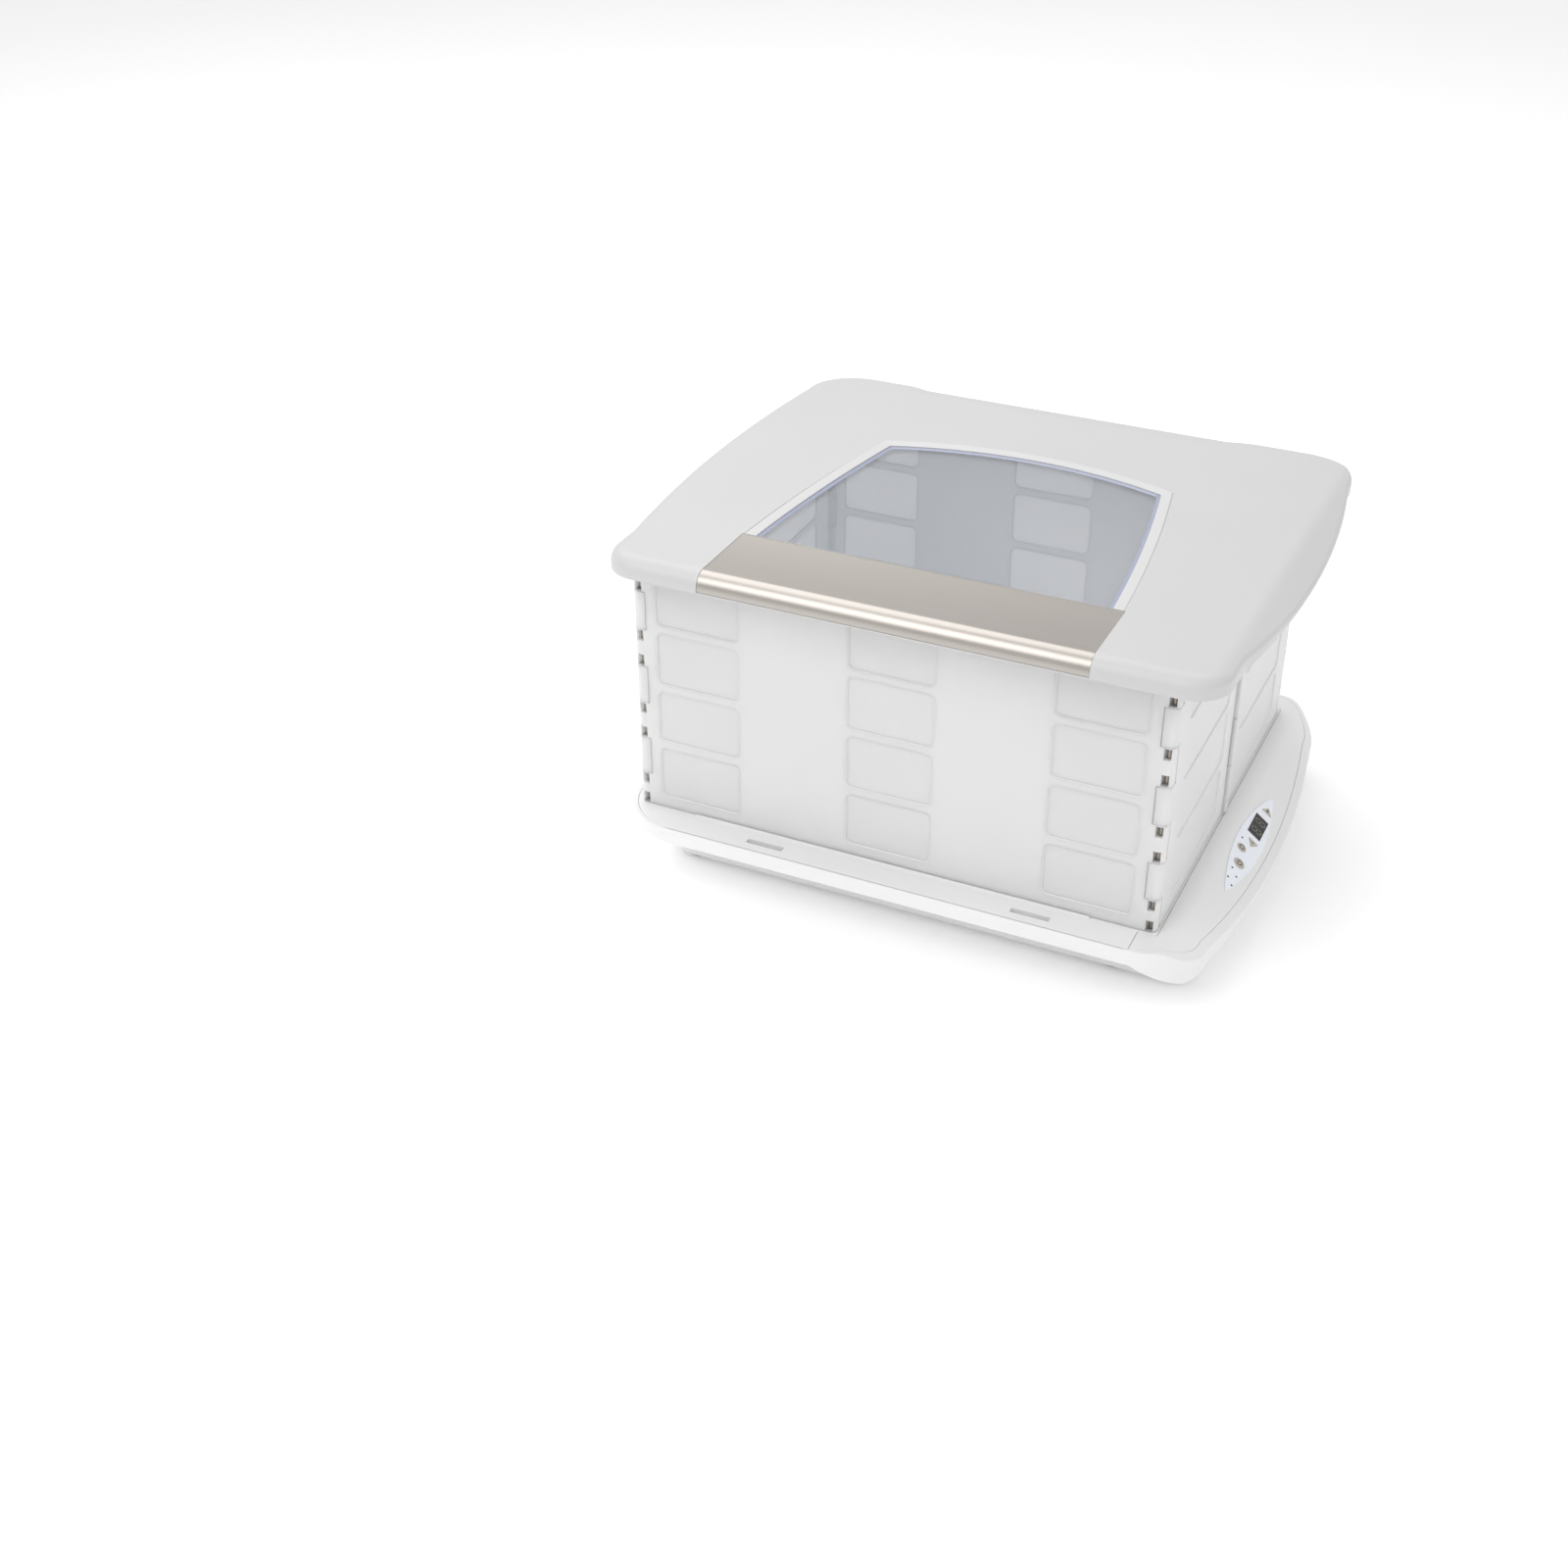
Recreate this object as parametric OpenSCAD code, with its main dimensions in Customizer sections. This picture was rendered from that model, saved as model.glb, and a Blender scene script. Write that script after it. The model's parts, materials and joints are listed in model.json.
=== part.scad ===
// Folding heated proofing box: heated base, folding wall unit, lid with window, wire rack.
// Origin: centre of the footprint on the table. +X towards the control side, -Y is the front.

/* [Wall unit] */
// Outside width of the wall unit
wall_w = 392; // [340:1:470]
// Outside depth of the wall unit
wall_d = 330; // [280:1:396]
// Height of the walls
wall_h = 202; // [160:1:250]
// Thickness of a wall panel
wall_t = 4.6; // [3.6:0.1:4.8]
// Radius of the corner knuckles
knuckle_r = 5; // [5:0.1:6]
// Radius of the corner hinge pins
pin_r = 1.5; // [1.2:0.1:2]
// Radius of the middle hinge barrels
barrel_r = 2.6; // [2.2:0.1:3]
// Radius of the middle hinge pins
mid_pin_r = 1.1; // [0.9:0.1:1.3]
// Radial clearance of a pin in a turning knuckle
pin_clear = 0.05; // [0.02:0.01:0.1]
// Gap between neighbouring knuckles, and from a knuckle to the next panel
hinge_gap = 0.3; // [0.2:0.05:0.5]
// Height of the lowest corner knuckle
first_knuckle = 26.2; // [20:0.1:32]
// Height of the highest corner knuckle
last_knuckle = 28.3; // [20:0.1:34]
// Depth of the panel pockets
pocket_depth = 0.9; // [0.4:0.1:1]
// Width of a pocket on the long walls
pocket_w = 64; // [40:1:76]
// Width of a pocket on a side leaf
leaf_pocket_w = 112; // [60:1:120]

/* [Base] */
// Height of the deck above the table
deck_z = 52; // [50:0.5:60]
// Reach of the footprint past the walls on the left
reach_left = 20; // [18:1:40]
// Reach of the footprint past the walls on the control side
reach_right = 44; // [42:1:60]
// Reach of the footprint past the walls at front and back
reach_front = 27; // [24:1:40]
// Radius of the bowed control side
bow_right = 850; // [700:10:1400]
// Radius of the bowed left side
bow_left = 1100; // [900:10:1600]
// Radius of the base corners in plan
base_corner = 48; // [30:1:48]
// Skin thickness of the base mouldings
skin = 2.4; // [2:0.1:3]
// Height of the rubber feet
foot_h = 4; // [3:0.5:6]
// Slope of the control panel, degrees
panel_tilt = 38; // [30:1:42]
// Bend radius between deck and control panel
panel_bend = 18; // [14:1:20]
// Radial gap of a key in its hole
key_gap = 0.1; // [0.05:0.01:0.2]
// Radius of the power key
power_r = 4.6; // [4:0.1:5]
// Radius of the mode key
mode_r = 3.8; // [3:0.1:4.2]

/* [Lid] */
// Thickness of the lid at its edge
lid_h = 14; // [12:0.5:20]
// Radius of the lid's front nose
nose_r = 11; // [8:0.5:11.5]
// How far the lid's edge reaches down past the wall tops
lid_lap = 5; // [3:0.5:8]
// Radius of the lid's front corners in plan
lid_corner = 26; // [18:1:34]
// Radius of the lid's back corners in plan
lid_back_corner = 44; // [18:1:48]
// How far the lid's top falls towards its back edge
lid_fall = 2.5; // [0:0.5:3]
// Half width of the window at the front
win_front = 127; // [90:1:135]
// Half width of the window at the back corners
win_back = 104; // [70:1:115]
// Depth of the window at its sides
win_side = 182; // [120:1:200]
// Rise of the window's bowed back edge
win_bow = 19; // [8:1:24]
// Half width of the steel trim
trim_half = 137; // [100:1:150]
// Depth of the steel trim from the wall front to its rear edge
trim_rear = 44; // [30:1:48]
// Thickness of the steel trim
trim_t = 0.9; // [0.6:0.1:1.2]

/* [Rack and tray] */
// Width of the rack
rack_w = 370; // [300:1:372]
// Depth of the rack
rack_d = 310; // [240:1:312]
// Wire diameter of the rack's rim
rim_wire = 3.2; // [2.6:0.1:3.6]
// Wire diameter of the rack's grid
grid_wire = 2.4; // [2:0.1:2.6]
// Wire diameter of the legs
leg_wire = 2.8; // [2.4:0.1:3]
// Number of short cross wires
cross_count = 17; // [11:2:19]
// Reach of a leg from its pivot to the foot bar
leg_len = 98; // [70:1:104]
// Width of the water tray
tray_w = 200; // [120:1:220]
// Depth of the water tray
tray_d = 110; // [80:1:130]
// Height of the water tray
tray_h = 11; // [8:0.5:11]

/* [Hidden] */
$fn = 64;
e = 0.01;
big_fn = 720;
foot_w = wall_w + reach_left + reach_right;
half_x = foot_w / 2;
half_y = wall_d / 2 + reach_front;
xl = reach_left - half_x;
xr = half_x - reach_right;
wc = (xl + xr) / 2;
yf = -wall_d / 2;
kr = knuckle_r;
wall_top = deck_z + wall_h;
fit = 0.3;

// Bows of the footprint end where the corners start
bow_y = half_y - base_corner - 0.9;
function sag(r) = r - sqrt(r * r - (bow_y - 0.5) * (bow_y - 0.5));

// Base levels
rim_low = deck_z - 11;
side_low = deck_z - 30;
rim_top = 3;
rim_side = 6;
shell_floor = foot_h + 2.5;
tub_y = 149;
tub_x0 = wc - 179;
tub_x1 = xr + 24;
step_z = deck_z - 22;
step_y = rack_d / 2 + 8;
step_x0 = wc - rack_w / 2 - 8;
step_x1 = xr + 6;
shelf_z = deck_z - 9;
well_x = 172;
well_y = 142;
plate_z = deck_z - 25;
plate_t = 2;
plate_under = plate_z - plate_t;
post_x = 155;
post_y = 120;

// Control panel frame
panel_x = xr + 25;
bend_x = xr + 4;
panel_z = deck_z - panel_bend * (1 - cos(panel_tilt))
    - (panel_x - bend_x - panel_bend * sin(panel_tilt)) * tan(panel_tilt);
overlay_t = 0.5;
cover_t = 2.2;
key_top = 1;
key_stem = 3.4;
board_top = 8;
board_t = 1.6;
power_at = [0, -42];
mode_at = [-3.8, -25];
minus_at = [2, -12];
plus_at = [1, 35];
display_at = [0, 10];
key_flange = 6;

// Corner hinge bands: even bands belong to the long walls, odd bands to the leaves
knuckle_step = (wall_h - first_knuckle - last_knuckle) / 5;
function band_lo(i) = i == 0 ? 0 : first_knuckle + (i - 1) * knuckle_step;
function band_hi(i) = i == 6 ? wall_h : first_knuckle + i * knuckle_step;
barrel_count = 5;
barrel_edge = 2;
barrel_step = (wall_h - 2 * barrel_edge) / barrel_count;
mid_x = xr + 0.3;
leaf_lift = 0.4;

// Pocket rows on every panel
row_count = 4;
row_h = 41;
row_step = (wall_h - 15.2) / row_count;
row_first = 9.6;

// Lid levels
lid_z0 = wall_top - lid_lap;
lid_z1 = lid_z0 + lid_h;
lid_skin = 2.6;
ceiling = lid_z1 - lid_skin;
liner_t = 2;
lid_left = half_x;
ridge_x = xr + 25;
side_drop = 11;
fall_y = half_y - 50;
back_edge = half_y - nose_r;
scoop_y = half_y - reach_front;
scoop_z = lid_z1 - lid_fall * (scoop_y - fall_y) / (back_edge - fall_y);
win_x = wc + 6;
win_y = yf + trim_rear + 2;
latch_x = 100;
latch_y = half_y - 13;
latch_w = 26;
slot_depth = 7;
pane_t = 2.5;
bezel_w = 8.8;

// Rack levels
rack_cx = rack_w / 2 - rim_wire / 2;
rack_cy = rack_d / 2 - rim_wire / 2;
rack_r = 22;
rim_z = shelf_z + rim_wire / 2;
cross_z = shelf_z + rim_wire + grid_wire / 2;
long_z = shelf_z + rim_wire - grid_wire / 2;
cross_step = 2 * rack_cx / (cross_count + 1);
pivot_x = rack_cx - 3 * cross_step;
eye_in = grid_wire / 2 + pin_clear;
eye_out = eye_in + 2.2;
leg_drop = eye_in + leg_wire / 2 + 0.25;
leg_y = well_y - 3;
leg_tilt = 1.6;
long_count = 5;

// ---- helpers ----

module rrect(w, d, r) {
  square([w, d - 2 * r], center = true);
  square([w - 2 * r, d], center = true);
  for (sx = [-1, 1], sy = [-1, 1])
    translate([sx * (w / 2 - r), sy * (d / 2 - r)]) circle(r = r);
}

module slab(w, d, r, z0, z1, x = 0, y = 0) {
  translate([x, y, z0]) linear_extrude(z1 - z0) rrect(w, d, r);
}

// Bowed outline: straight front and back, arcs left and right, round corners
module outline(x0, x1, yh, rc) {
  xa = x0 + sag(bow_left);
  xb = x1 - sag(bow_right);
  union() {
    translate([(xa + xb) / 2, 0]) rrect(xb - xa, 2 * yh, rc);
    intersection() {
      translate([x1 - bow_right, 0]) circle(r = bow_right, $fn = big_fn);
      translate([x0 + bow_left, 0]) circle(r = bow_left, $fn = big_fn);
      translate([x0 - 1, -bow_y]) square([x1 - x0 + 2, 2 * bow_y]);
    }
  }
}

module base_out(d = 0) {
  outline(-half_x + d, half_x - d, half_y - d, base_corner - d);
}

module base_in(d = 0) {
  outline(-half_x + rim_top + d, half_x - rim_side - d, half_y - rim_top - d,
      base_corner - rim_top - d);
}

module prism(z0, z1) {
  translate([0, 0, z0]) linear_extrude(z1 - z0) children();
}

// Sweeps an X-Z profile along Y
module along_y(len = 2 * half_y + 20) {
  rotate([90, 0, 0]) linear_extrude(len, center = true) children();
}

// Sweeps a Y-Z profile along X
module along_x(len = foot_w + 20) {
  rotate([90, 0, 90]) linear_extrude(len, center = true) children();
}

// Region under the deck and the control panel, d below their outer face
module under_top(d = 0) {
  r = panel_bend - d;
  tx = bend_x + r * sin(panel_tilt);
  tz = deck_z - panel_bend + r * cos(panel_tilt);
  run = 60;
  union() {
    translate([-half_x - 10, 0]) square([half_x + 10 + bend_x, deck_z - d]);
    translate([bend_x, deck_z - panel_bend]) circle(r = r);
    polygon([[bend_x - 1, 0], [bend_x - 1, deck_z - panel_bend], [bend_x, deck_z - panel_bend],
        [tx, tz], [tx + run, tz - run * tan(panel_tilt)], [tx + run, 0]]);
  }
}

// Region above the underside of the rim, d over it
module over_rim(d = 0) {
  polygon([[-half_x - 10, rim_low + d], [xr - 10, rim_low + d], [xr + 24, side_low + d],
      [half_x + 20, side_low + d], [half_x + 20, deck_z + 30], [-half_x - 10, deck_z + 30]]);
}

module under_rim(d = 0) {
  polygon([[-half_x - 10, rim_low + d], [xr - 10, rim_low + d], [xr + 24, side_low + d],
      [half_x + 20, side_low + d], [half_x + 20, -5], [-half_x - 10, -5]]);
}

// Y-Z profile with rounded upper edges
module round_top(yh, z1, r) {
  translate([-yh, -5]) square([2 * yh, z1 - r + 5]);
  translate([r - yh, -5]) square([2 * (yh - r), z1 + 5]);
  for (s = [-1, 1]) translate([s * (yh - r), z1 - r]) circle(r = r);
}

module mirror_x() {
  translate([wc, 0, 0]) mirror([1, 0, 0]) translate([-wc, 0, 0]) children();
}

module both_x() {
  children();
  mirror_x() children();
}

module on_panel() {
  translate([panel_x, 0, panel_z]) rotate([0, panel_tilt, 0]) children();
}

module at(p, z = 0) {
  translate([p[0], p[1], z]) children();
}

// ---- base ----

module deck_region(d = 0) {
  translate([-half_x - 5, -half_y - 5])
    square([half_x + 5 + xr - 12 - d, 2 * half_y + 10]);
  translate([0, yf - 1.2 + d]) square([xr + 1.2 - d, wall_d + 2.4 - 2 * d]);
}

module post_spots() {
  for (x = [-post_x, 0, post_x], y = [-post_y, post_y]) translate([wc + x, y, 0]) children();
}

module foot_spots() {
  for (x = [-162, 162], y = [-137, 137]) translate([wc + x, y, 0]) children();
}

module screw_shape(z0, z1, r, head_r, head_h) {
  translate([0, 0, z0]) cylinder(r = r, h = z1 - z0);
  translate([0, 0, z0]) cylinder(r = head_r, h = head_h);
}

inlet_x = xr - 14;
inlet_w = 22;
inlet_z0 = foot_h + 5;
inlet_h = 16;
cover_screw_x = xr + 28;
cover_screw_y = 95;

module base_shell() {
  color("whitesmoke")
  difference() {
    union() {
      intersection() {
        prism(0, deck_z) difference() {
          base_out();
          base_in();
        }
        along_y() intersection() {
          under_top();
          over_rim();
        }
        along_x() round_top(half_y, deck_z, 4);
      }
      intersection() {
        prism(0, deck_z) base_out(1);
        along_y() intersection() {
          over_rim();
          under_rim(skin);
        }
      }
      intersection() {
        union() {
          slab(tub_x1 - tub_x0, 2 * tub_y, 14, foot_h, deck_z - 5, (tub_x0 + tub_x1) / 2);
          slab(step_x1 - step_x0, 2 * step_y, 20, step_z, deck_z - 5,
              (step_x0 + step_x1) / 2);
        }
        along_y() under_rim(skin);
      }
    }
    slab(tub_x1 - tub_x0 - 2 * skin, 2 * (tub_y - skin), 14 - skin, shell_floor, deck_z + 5,
        (tub_x0 + tub_x1) / 2);
    slab(step_x1 - step_x0 - 2 * skin, 2 * (step_y - skin), 20 - skin, step_z + skin,
        deck_z + 5, (step_x0 + step_x1) / 2);
    translate([inlet_x - inlet_w / 2, tub_y - 10, inlet_z0]) cube([inlet_w, 20, inlet_h]);
    post_spots() screw_shape(foot_h, plate_under, pin_r, 3, 2);
    foot_spots() cylinder(r = 3, h = shell_floor + 1);
    for (s = [-1, 1]) translate([cover_screw_x, s * cover_screw_y, side_low - 1])
      cylinder(r = 1.25, h = 10);
    for (i = [-4:4]) translate([wc + i * 16 - 2, -30, 0]) cube([4, 60, shell_floor + 1]);
  }
  color("whitesmoke") difference() {
    post_spots() translate([0, 0, shell_floor - 0.5])
      cylinder(r = 4, h = plate_under - shell_floor + 0.5);
    post_spots() cylinder(r = pin_r, h = deck_z);
    post_spots() cylinder(r = 3, h = foot_h + 2);
  }
  color("whitesmoke") for (s = [-1, 1])
    translate([wc - 140, s * 60 - 1.5, shell_floor - 0.5]) cube([280, 3, 6]);
}

module base_deck() {
  top_t = 2.5;
  color("whitesmoke")
  difference() {
    union() {
      prism(deck_z - top_t, deck_z) intersection() {
        base_in(0.15);
        deck_region();
      }
      intersection() {
        prism(rim_low + skin, deck_z) difference() {
          base_in(0.15);
          base_in(2.15);
        }
        translate([-half_x, -half_y, 0]) cube([half_x + xr - 12, 2 * half_y, deck_z]);
      }
      slab(rack_w + 8, rack_d + 8, 24, shelf_z - top_t, deck_z, wc);
      slab(2 * well_x + 4, 2 * well_y + 4, 12, plate_under, shelf_z, wc);
      latch_slots(1.4, deck_z - 1);
      // Curb that locates the wall unit, clear of the middle hinges
      for (s = [-1, 1]) {
        translate([wc - 150, s * (wall_d / 2 + 1.4) - 0.8, deck_z - 1]) cube([300, 1.6, 2.5]);
        translate([xl - 2.2, s * 80 - 60, deck_z - 1]) cube([1.6, 120, 2.5]);
      }
    }
    slab(rack_w + 4, rack_d + 4, 22, shelf_z, deck_z + 1, wc);
    slab(2 * well_x, 2 * well_y, 10, plate_under - 1, shelf_z + 1, wc);
    latch_slots(0, deck_z + 1);
  }
}

// Blind slots for the lid's latches, or their walls when grown by g
module latch_slots(g, top) {
  low = deck_z - slot_depth - g;
  for (sx = [-1, 1], sy = [-1, 1])
    translate([sx * latch_x - latch_w / 2 - 1 - g, sy * latch_y - 2.5 - g, low])
      cube([latch_w + 2 + 2 * g, 5 + 2 * g, top - low]);
}

module control_cover() {
  color("whitesmoke")
  difference() {
    union() {
      intersection() {
        along_y() difference() {
          under_top();
          under_top(cover_t);
        }
        prism(0, deck_z) difference() {
          base_in(0.15);
          deck_region(-fit);
        }
      }
      intersection() {
        prism(0, deck_z) difference() {
          base_in(0.15);
          base_in(2.15);
        }
        along_y() intersection() {
          under_top();
          over_rim(skin);
        }
        translate([xr - 12 + fit, -half_y, 0]) cube([reach_right + 20, 2 * half_y, deck_z]);
      }
      intersection() {
        for (s = [-1, 1]) translate([cover_screw_x, s * cover_screw_y, side_low + skin])
          cylinder(r = 3, h = 30);
        along_y() under_top(1);
      }
      on_panel() for (p = [[-10, -64], [-10, 45], [4, -64], [4, 45]])
        at(p, -board_top) cylinder(r = 2, h = board_top - 1);
    }
    for (s = [-1, 1]) translate([cover_screw_x, s * cover_screw_y, 0])
      cylinder(r = 1.25, h = side_low + 10);
    on_panel() key_holes();
  }
}

module key_plate(kind, gap = 0) {
  if (kind == "power") circle(r = power_r + gap);
  if (kind == "mode") circle(r = mode_r + gap);
  if (kind == "up") arrow(1, gap);
  if (kind == "down") arrow(-1, gap);
}

// Arrow head along +Y or -Y, grown evenly by gap
module arrow(way, gap = 0) {
  half = 4.6;
  len = 7.2;
  tipg = gap * sqrt(len * len + half * half) / half;
  wide = gap * (sqrt(len * len + half * half) + half) / len;
  mirror([0, way < 0 ? 1 : 0]) polygon([[-half - wide, -len / 2 - gap],
      [half + wide, -len / 2 - gap], [0, len / 2 + tipg]]);
}

module key_holes() {
  at(power_at, -5) linear_extrude(10) key_plate("power", key_gap);
  at(mode_at, -5) linear_extrude(10) key_plate("mode", key_gap);
  at(plus_at, -5) linear_extrude(10) key_plate("up", key_gap);
  at(minus_at, -5) linear_extrude(10) key_plate("down", key_gap);
  at(display_at, -5) linear_extrude(10) square([12, 25], center = true);
}

module keypad_overlay() {
  half_w = 11.5;
  half_l = 67;
  r = (half_l * half_l + half_w * half_w) / (2 * half_w);
  color("aliceblue")
  on_panel() difference() {
    linear_extrude(overlay_t) intersection() {
      translate([r - half_w, -13]) circle(r = r, $fn = big_fn);
      translate([half_w - r, -13]) circle(r = r, $fn = big_fn);
      translate([-20, -79]) square([40, 129]);
    }
    key_holes();
  }
}

module button(kind, p) {
  color("tan")
  on_panel() at(p) {
    translate([0, 0, -key_stem]) linear_extrude(key_stem + key_top) key_plate(kind);
    translate([0, 0, -key_stem]) cylinder(r = key_flange, h = key_stem - cover_t - 0.1);
  }
}

module button_power() { button("power", power_at); }
module button_mode() { button("mode", mode_at); }
module button_up() { button("up", plus_at); }
module button_down() { button("down", minus_at); }

module display_lens() {
  color("dimgray")
  on_panel() at(display_at, -cover_t) linear_extrude(cover_t + 0.8)
    square([12, 25], center = true);
}

module seven_segment() {
  len = 3.6;
  t = 0.9;
  for (u = [-4.2, 0, 4.2]) translate([u, 0]) square([t, len], center = true);
  for (u = [-2.1, 2.1], v = [-2.4, 2.4]) translate([u, v]) square([2.7, t], center = true);
}

module display_digits() {
  color("gray")
  on_panel() for (v = [-5.5, 5.5]) at(display_at + [0, v], 0.8)
    linear_extrude(0.15) seven_segment();
}

module indicator_lights() {
  color("dimgray")
  on_panel() for (p = [[-7, -15], [-3.2, -52], [2.6, -57], [-3, -64], [2.4, -69]])
    at(p, overlay_t) cylinder(r = 0.8, h = 0.15);
}

module display_module() {
  color("black")
  on_panel() at(display_at, -board_top) linear_extrude(board_top - cover_t)
    square([14, 28], center = true);
}

module control_board() {
  color("green")
  on_panel() translate([-13, -70, -board_top - board_t]) cube([19.5, 118, board_t]);
}

module tact_switches() {
  color("silver")
  on_panel() for (p = [power_at, mode_at, plus_at, minus_at]) at(p, -board_top) {
    translate([-3, -3, 0]) cube([6, 6, 2.6]);
    cylinder(r = 1.6, h = board_top - key_stem - 0.9);
  }
}

board_x0 = wc + 179;
board_z = shell_floor + 4;

module power_board() {
  color("green") {
    translate([board_x0, -105, board_z]) cube([36, 210, board_t]);
    for (y = [-95, 95], x = [6, 30]) translate([board_x0 + x, y, shell_floor])
      cylinder(r = 2.5, h = board_z - shell_floor);
  }
}

module transformer() {
  color("dimgray")
  translate([board_x0 + 3, -40, board_z + board_t]) {
    cube([26, 34, 14]);
    translate([-1.5, 6, 2]) cube([29, 22, 10]);
  }
}

module relay() {
  color("royalblue")
  translate([board_x0 + 5, 20, board_z + board_t]) cube([16, 20, 13]);
}

module capacitors() {
  color("black")
  for (i = [0, 1]) translate([board_x0 + 11, 56 + i * 18, board_z + board_t])
    cylinder(r = 5, h = 12);
}

module heater_plate() {
  color("silver")
  difference() {
    slab(2 * well_x - 1, 2 * well_y - 1, 9.5, plate_under, plate_z, wc);
    post_spots() translate([0, 0, plate_under - 1]) cylinder(r = pin_r, h = 2);
  }
}

rod_r = 2;
rod_z = plate_under - rod_r;
rod_pitch = 60;
rod_x = 128;

module half_turn(x, y, way) {
  translate([x, y, rod_z]) rotate([0, 0, way > 0 ? -90 : 90])
    rotate_extrude(angle = 180) translate([rod_pitch / 2, 0]) circle(r = rod_r);
}

module heating_element() {
  color("gray") {
    for (y = [-1.5, -0.5, 0.5, 1.5]) translate([wc - rod_x, y * rod_pitch, rod_z])
      rotate([0, 90, 0]) cylinder(r = rod_r, h = 2 * rod_x + (abs(y) > 1 ? 36 : 0));
    half_turn(wc - rod_x, -rod_pitch, -1);
    half_turn(wc - rod_x, rod_pitch, -1);
    half_turn(wc + rod_x, 0, 1);
  }
}

pad_z = rod_z - rod_r - 1;

// Saddle that holds a rod of radius rod_r against the plate
module saddle(x, y) {
  width = 2 * rod_r + 4;
  translate([wc + x - 4, y, 0]) difference() {
    translate([0, -width / 2, pad_z]) cube([8, width, plate_under - pad_z]);
    translate([-1, 0, rod_z]) rotate([0, 90, 0]) cylinder(r = rod_r, h = 10);
    translate([-1, -rod_r, rod_z]) cube([10, 2 * rod_r, 2 * rod_r]);
  }
}

module element_clips() {
  color("silver")
  for (x = [-80, 80], y = [-1.5, -0.5, 0.5, 1.5]) saddle(x, y * rod_pitch);
}

module insulation_pad() {
  color("khaki")
  difference() {
    slab(324, 264, 8, shell_floor + 5.5, pad_z, wc);
    post_spots() cylinder(r = 4.4, h = deck_z);
  }
}

sensor_x = -40;
fuse_x = 37;

module temperature_sensor() {
  color("brown")
  translate([wc + sensor_x - 6, 0, rod_z]) rotate([0, 90, 0]) cylinder(r = rod_r, h = 12);
}

module thermal_fuse() {
  color("red")
  translate([wc + fuse_x - 7, 0, rod_z]) rotate([0, 90, 0]) cylinder(r = rod_r, h = 14);
}

module sensor_clips() {
  color("silver") for (x = [sensor_x, fuse_x]) saddle(x, 0);
}

module water_tray() {
  color("silver")
  difference() {
    slab(tray_w, tray_d, 14, plate_z, plate_z + tray_h, wc);
    slab(tray_w - 2.4, tray_d - 2.4, 12.8, plate_z + 1.2, plate_z + tray_h + 1, wc);
  }
}

module power_inlet() {
  color("black")
  difference() {
    union() {
      translate([inlet_x - inlet_w / 2, tub_y - 12, inlet_z0]) cube([inlet_w, 12, inlet_h]);
      translate([inlet_x - inlet_w / 2 - 2, tub_y, inlet_z0 - 2])
        cube([inlet_w + 4, 1.6, inlet_h + 4]);
    }
    translate([inlet_x - inlet_w / 2 + 2, tub_y - 10, inlet_z0 + 2])
      cube([inlet_w - 4, 20, inlet_h - 4]);
  }
}

module inlet_pins() {
  color("gold")
  for (s = [-1, 1]) translate([inlet_x + s * 4, tub_y - 2, inlet_z0 + inlet_h / 2])
    rotate([90, 0, 0]) cylinder(r = 1.2, h = 8);
}

module rubber_feet() {
  color("dimgray")
  foot_spots() {
    cylinder(r = 8, h = foot_h);
    cylinder(r = 3, h = shell_floor);
  }
}

module base_screws() {
  color("silver") post_spots() screw_shape(foot_h, plate_under + 1, pin_r, 3, 2);
}

module cover_screws() {
  color("silver")
  for (s = [-1, 1]) translate([cover_screw_x, s * cover_screw_y, 0])
    screw_shape(side_low - 1.5, side_low + 10, 1.25, 2.5, 1.5);
}

// Leads from the element's ends, bent down onto the power board
module wiring() {
  wire_r = 1.1;
  x0 = wc + rod_x + 36;
  x1 = board_x0 + 8;
  board_face = board_z + board_t;
  color("firebrick") for (s = [-1, 1]) translate([0, s * 1.5 * rod_pitch, 0]) {
    translate([x0, 0, rod_z]) rotate([0, 90, 0]) cylinder(r = wire_r, h = x1 - x0);
    translate([x1, 0, rod_z]) sphere(r = wire_r);
    translate([x1, 0, board_face]) cylinder(r = wire_r, h = rod_z - board_face);
  }
}

// ---- wall unit ----

module band(i, z0 = deck_z) {
  translate([0, 0, z0 + band_lo(i) + (i % 2 == 1 ? hinge_gap : 0)])
    linear_extrude(band_hi(i) - band_lo(i) - (i % 2 == 1 ? 2 * hinge_gap : 0)) children();
}

// Corner knuckle in plan; the hinge axis is at the local origin of a right front corner
module wall_knuckle2d() {
  circle(r = kr);
  translate([-kr - 1, -kr]) square([kr + 1, kr]);
}

module leaf_knuckle2d() {
  circle(r = kr);
  translate([-kr, -kr]) square([kr, kr]);
  translate([kr - wall_t, 0]) square([wall_t, kr + hinge_gap + 1]);
}

module pocket_grid(xs, w) {
  for (x = xs, i = [0:row_count - 1])
    translate([x, row_first + row_h / 2 + i * row_step]) rrect(w, row_h, 5);
}

// Pockets on both faces of a panel between y0 and y0 + wall_t
module long_pockets(y0) {
  xs = [wc - wall_w / 2 + 18 + pocket_w / 2, wc, wc + wall_w / 2 - 18 - pocket_w / 2];
  for (y = [y0 + pocket_depth, y0 + wall_t + 1]) translate([0, y, deck_z])
    rotate([90, 0, 0]) linear_extrude(1 + pocket_depth) pocket_grid(xs, pocket_w);
}

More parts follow.
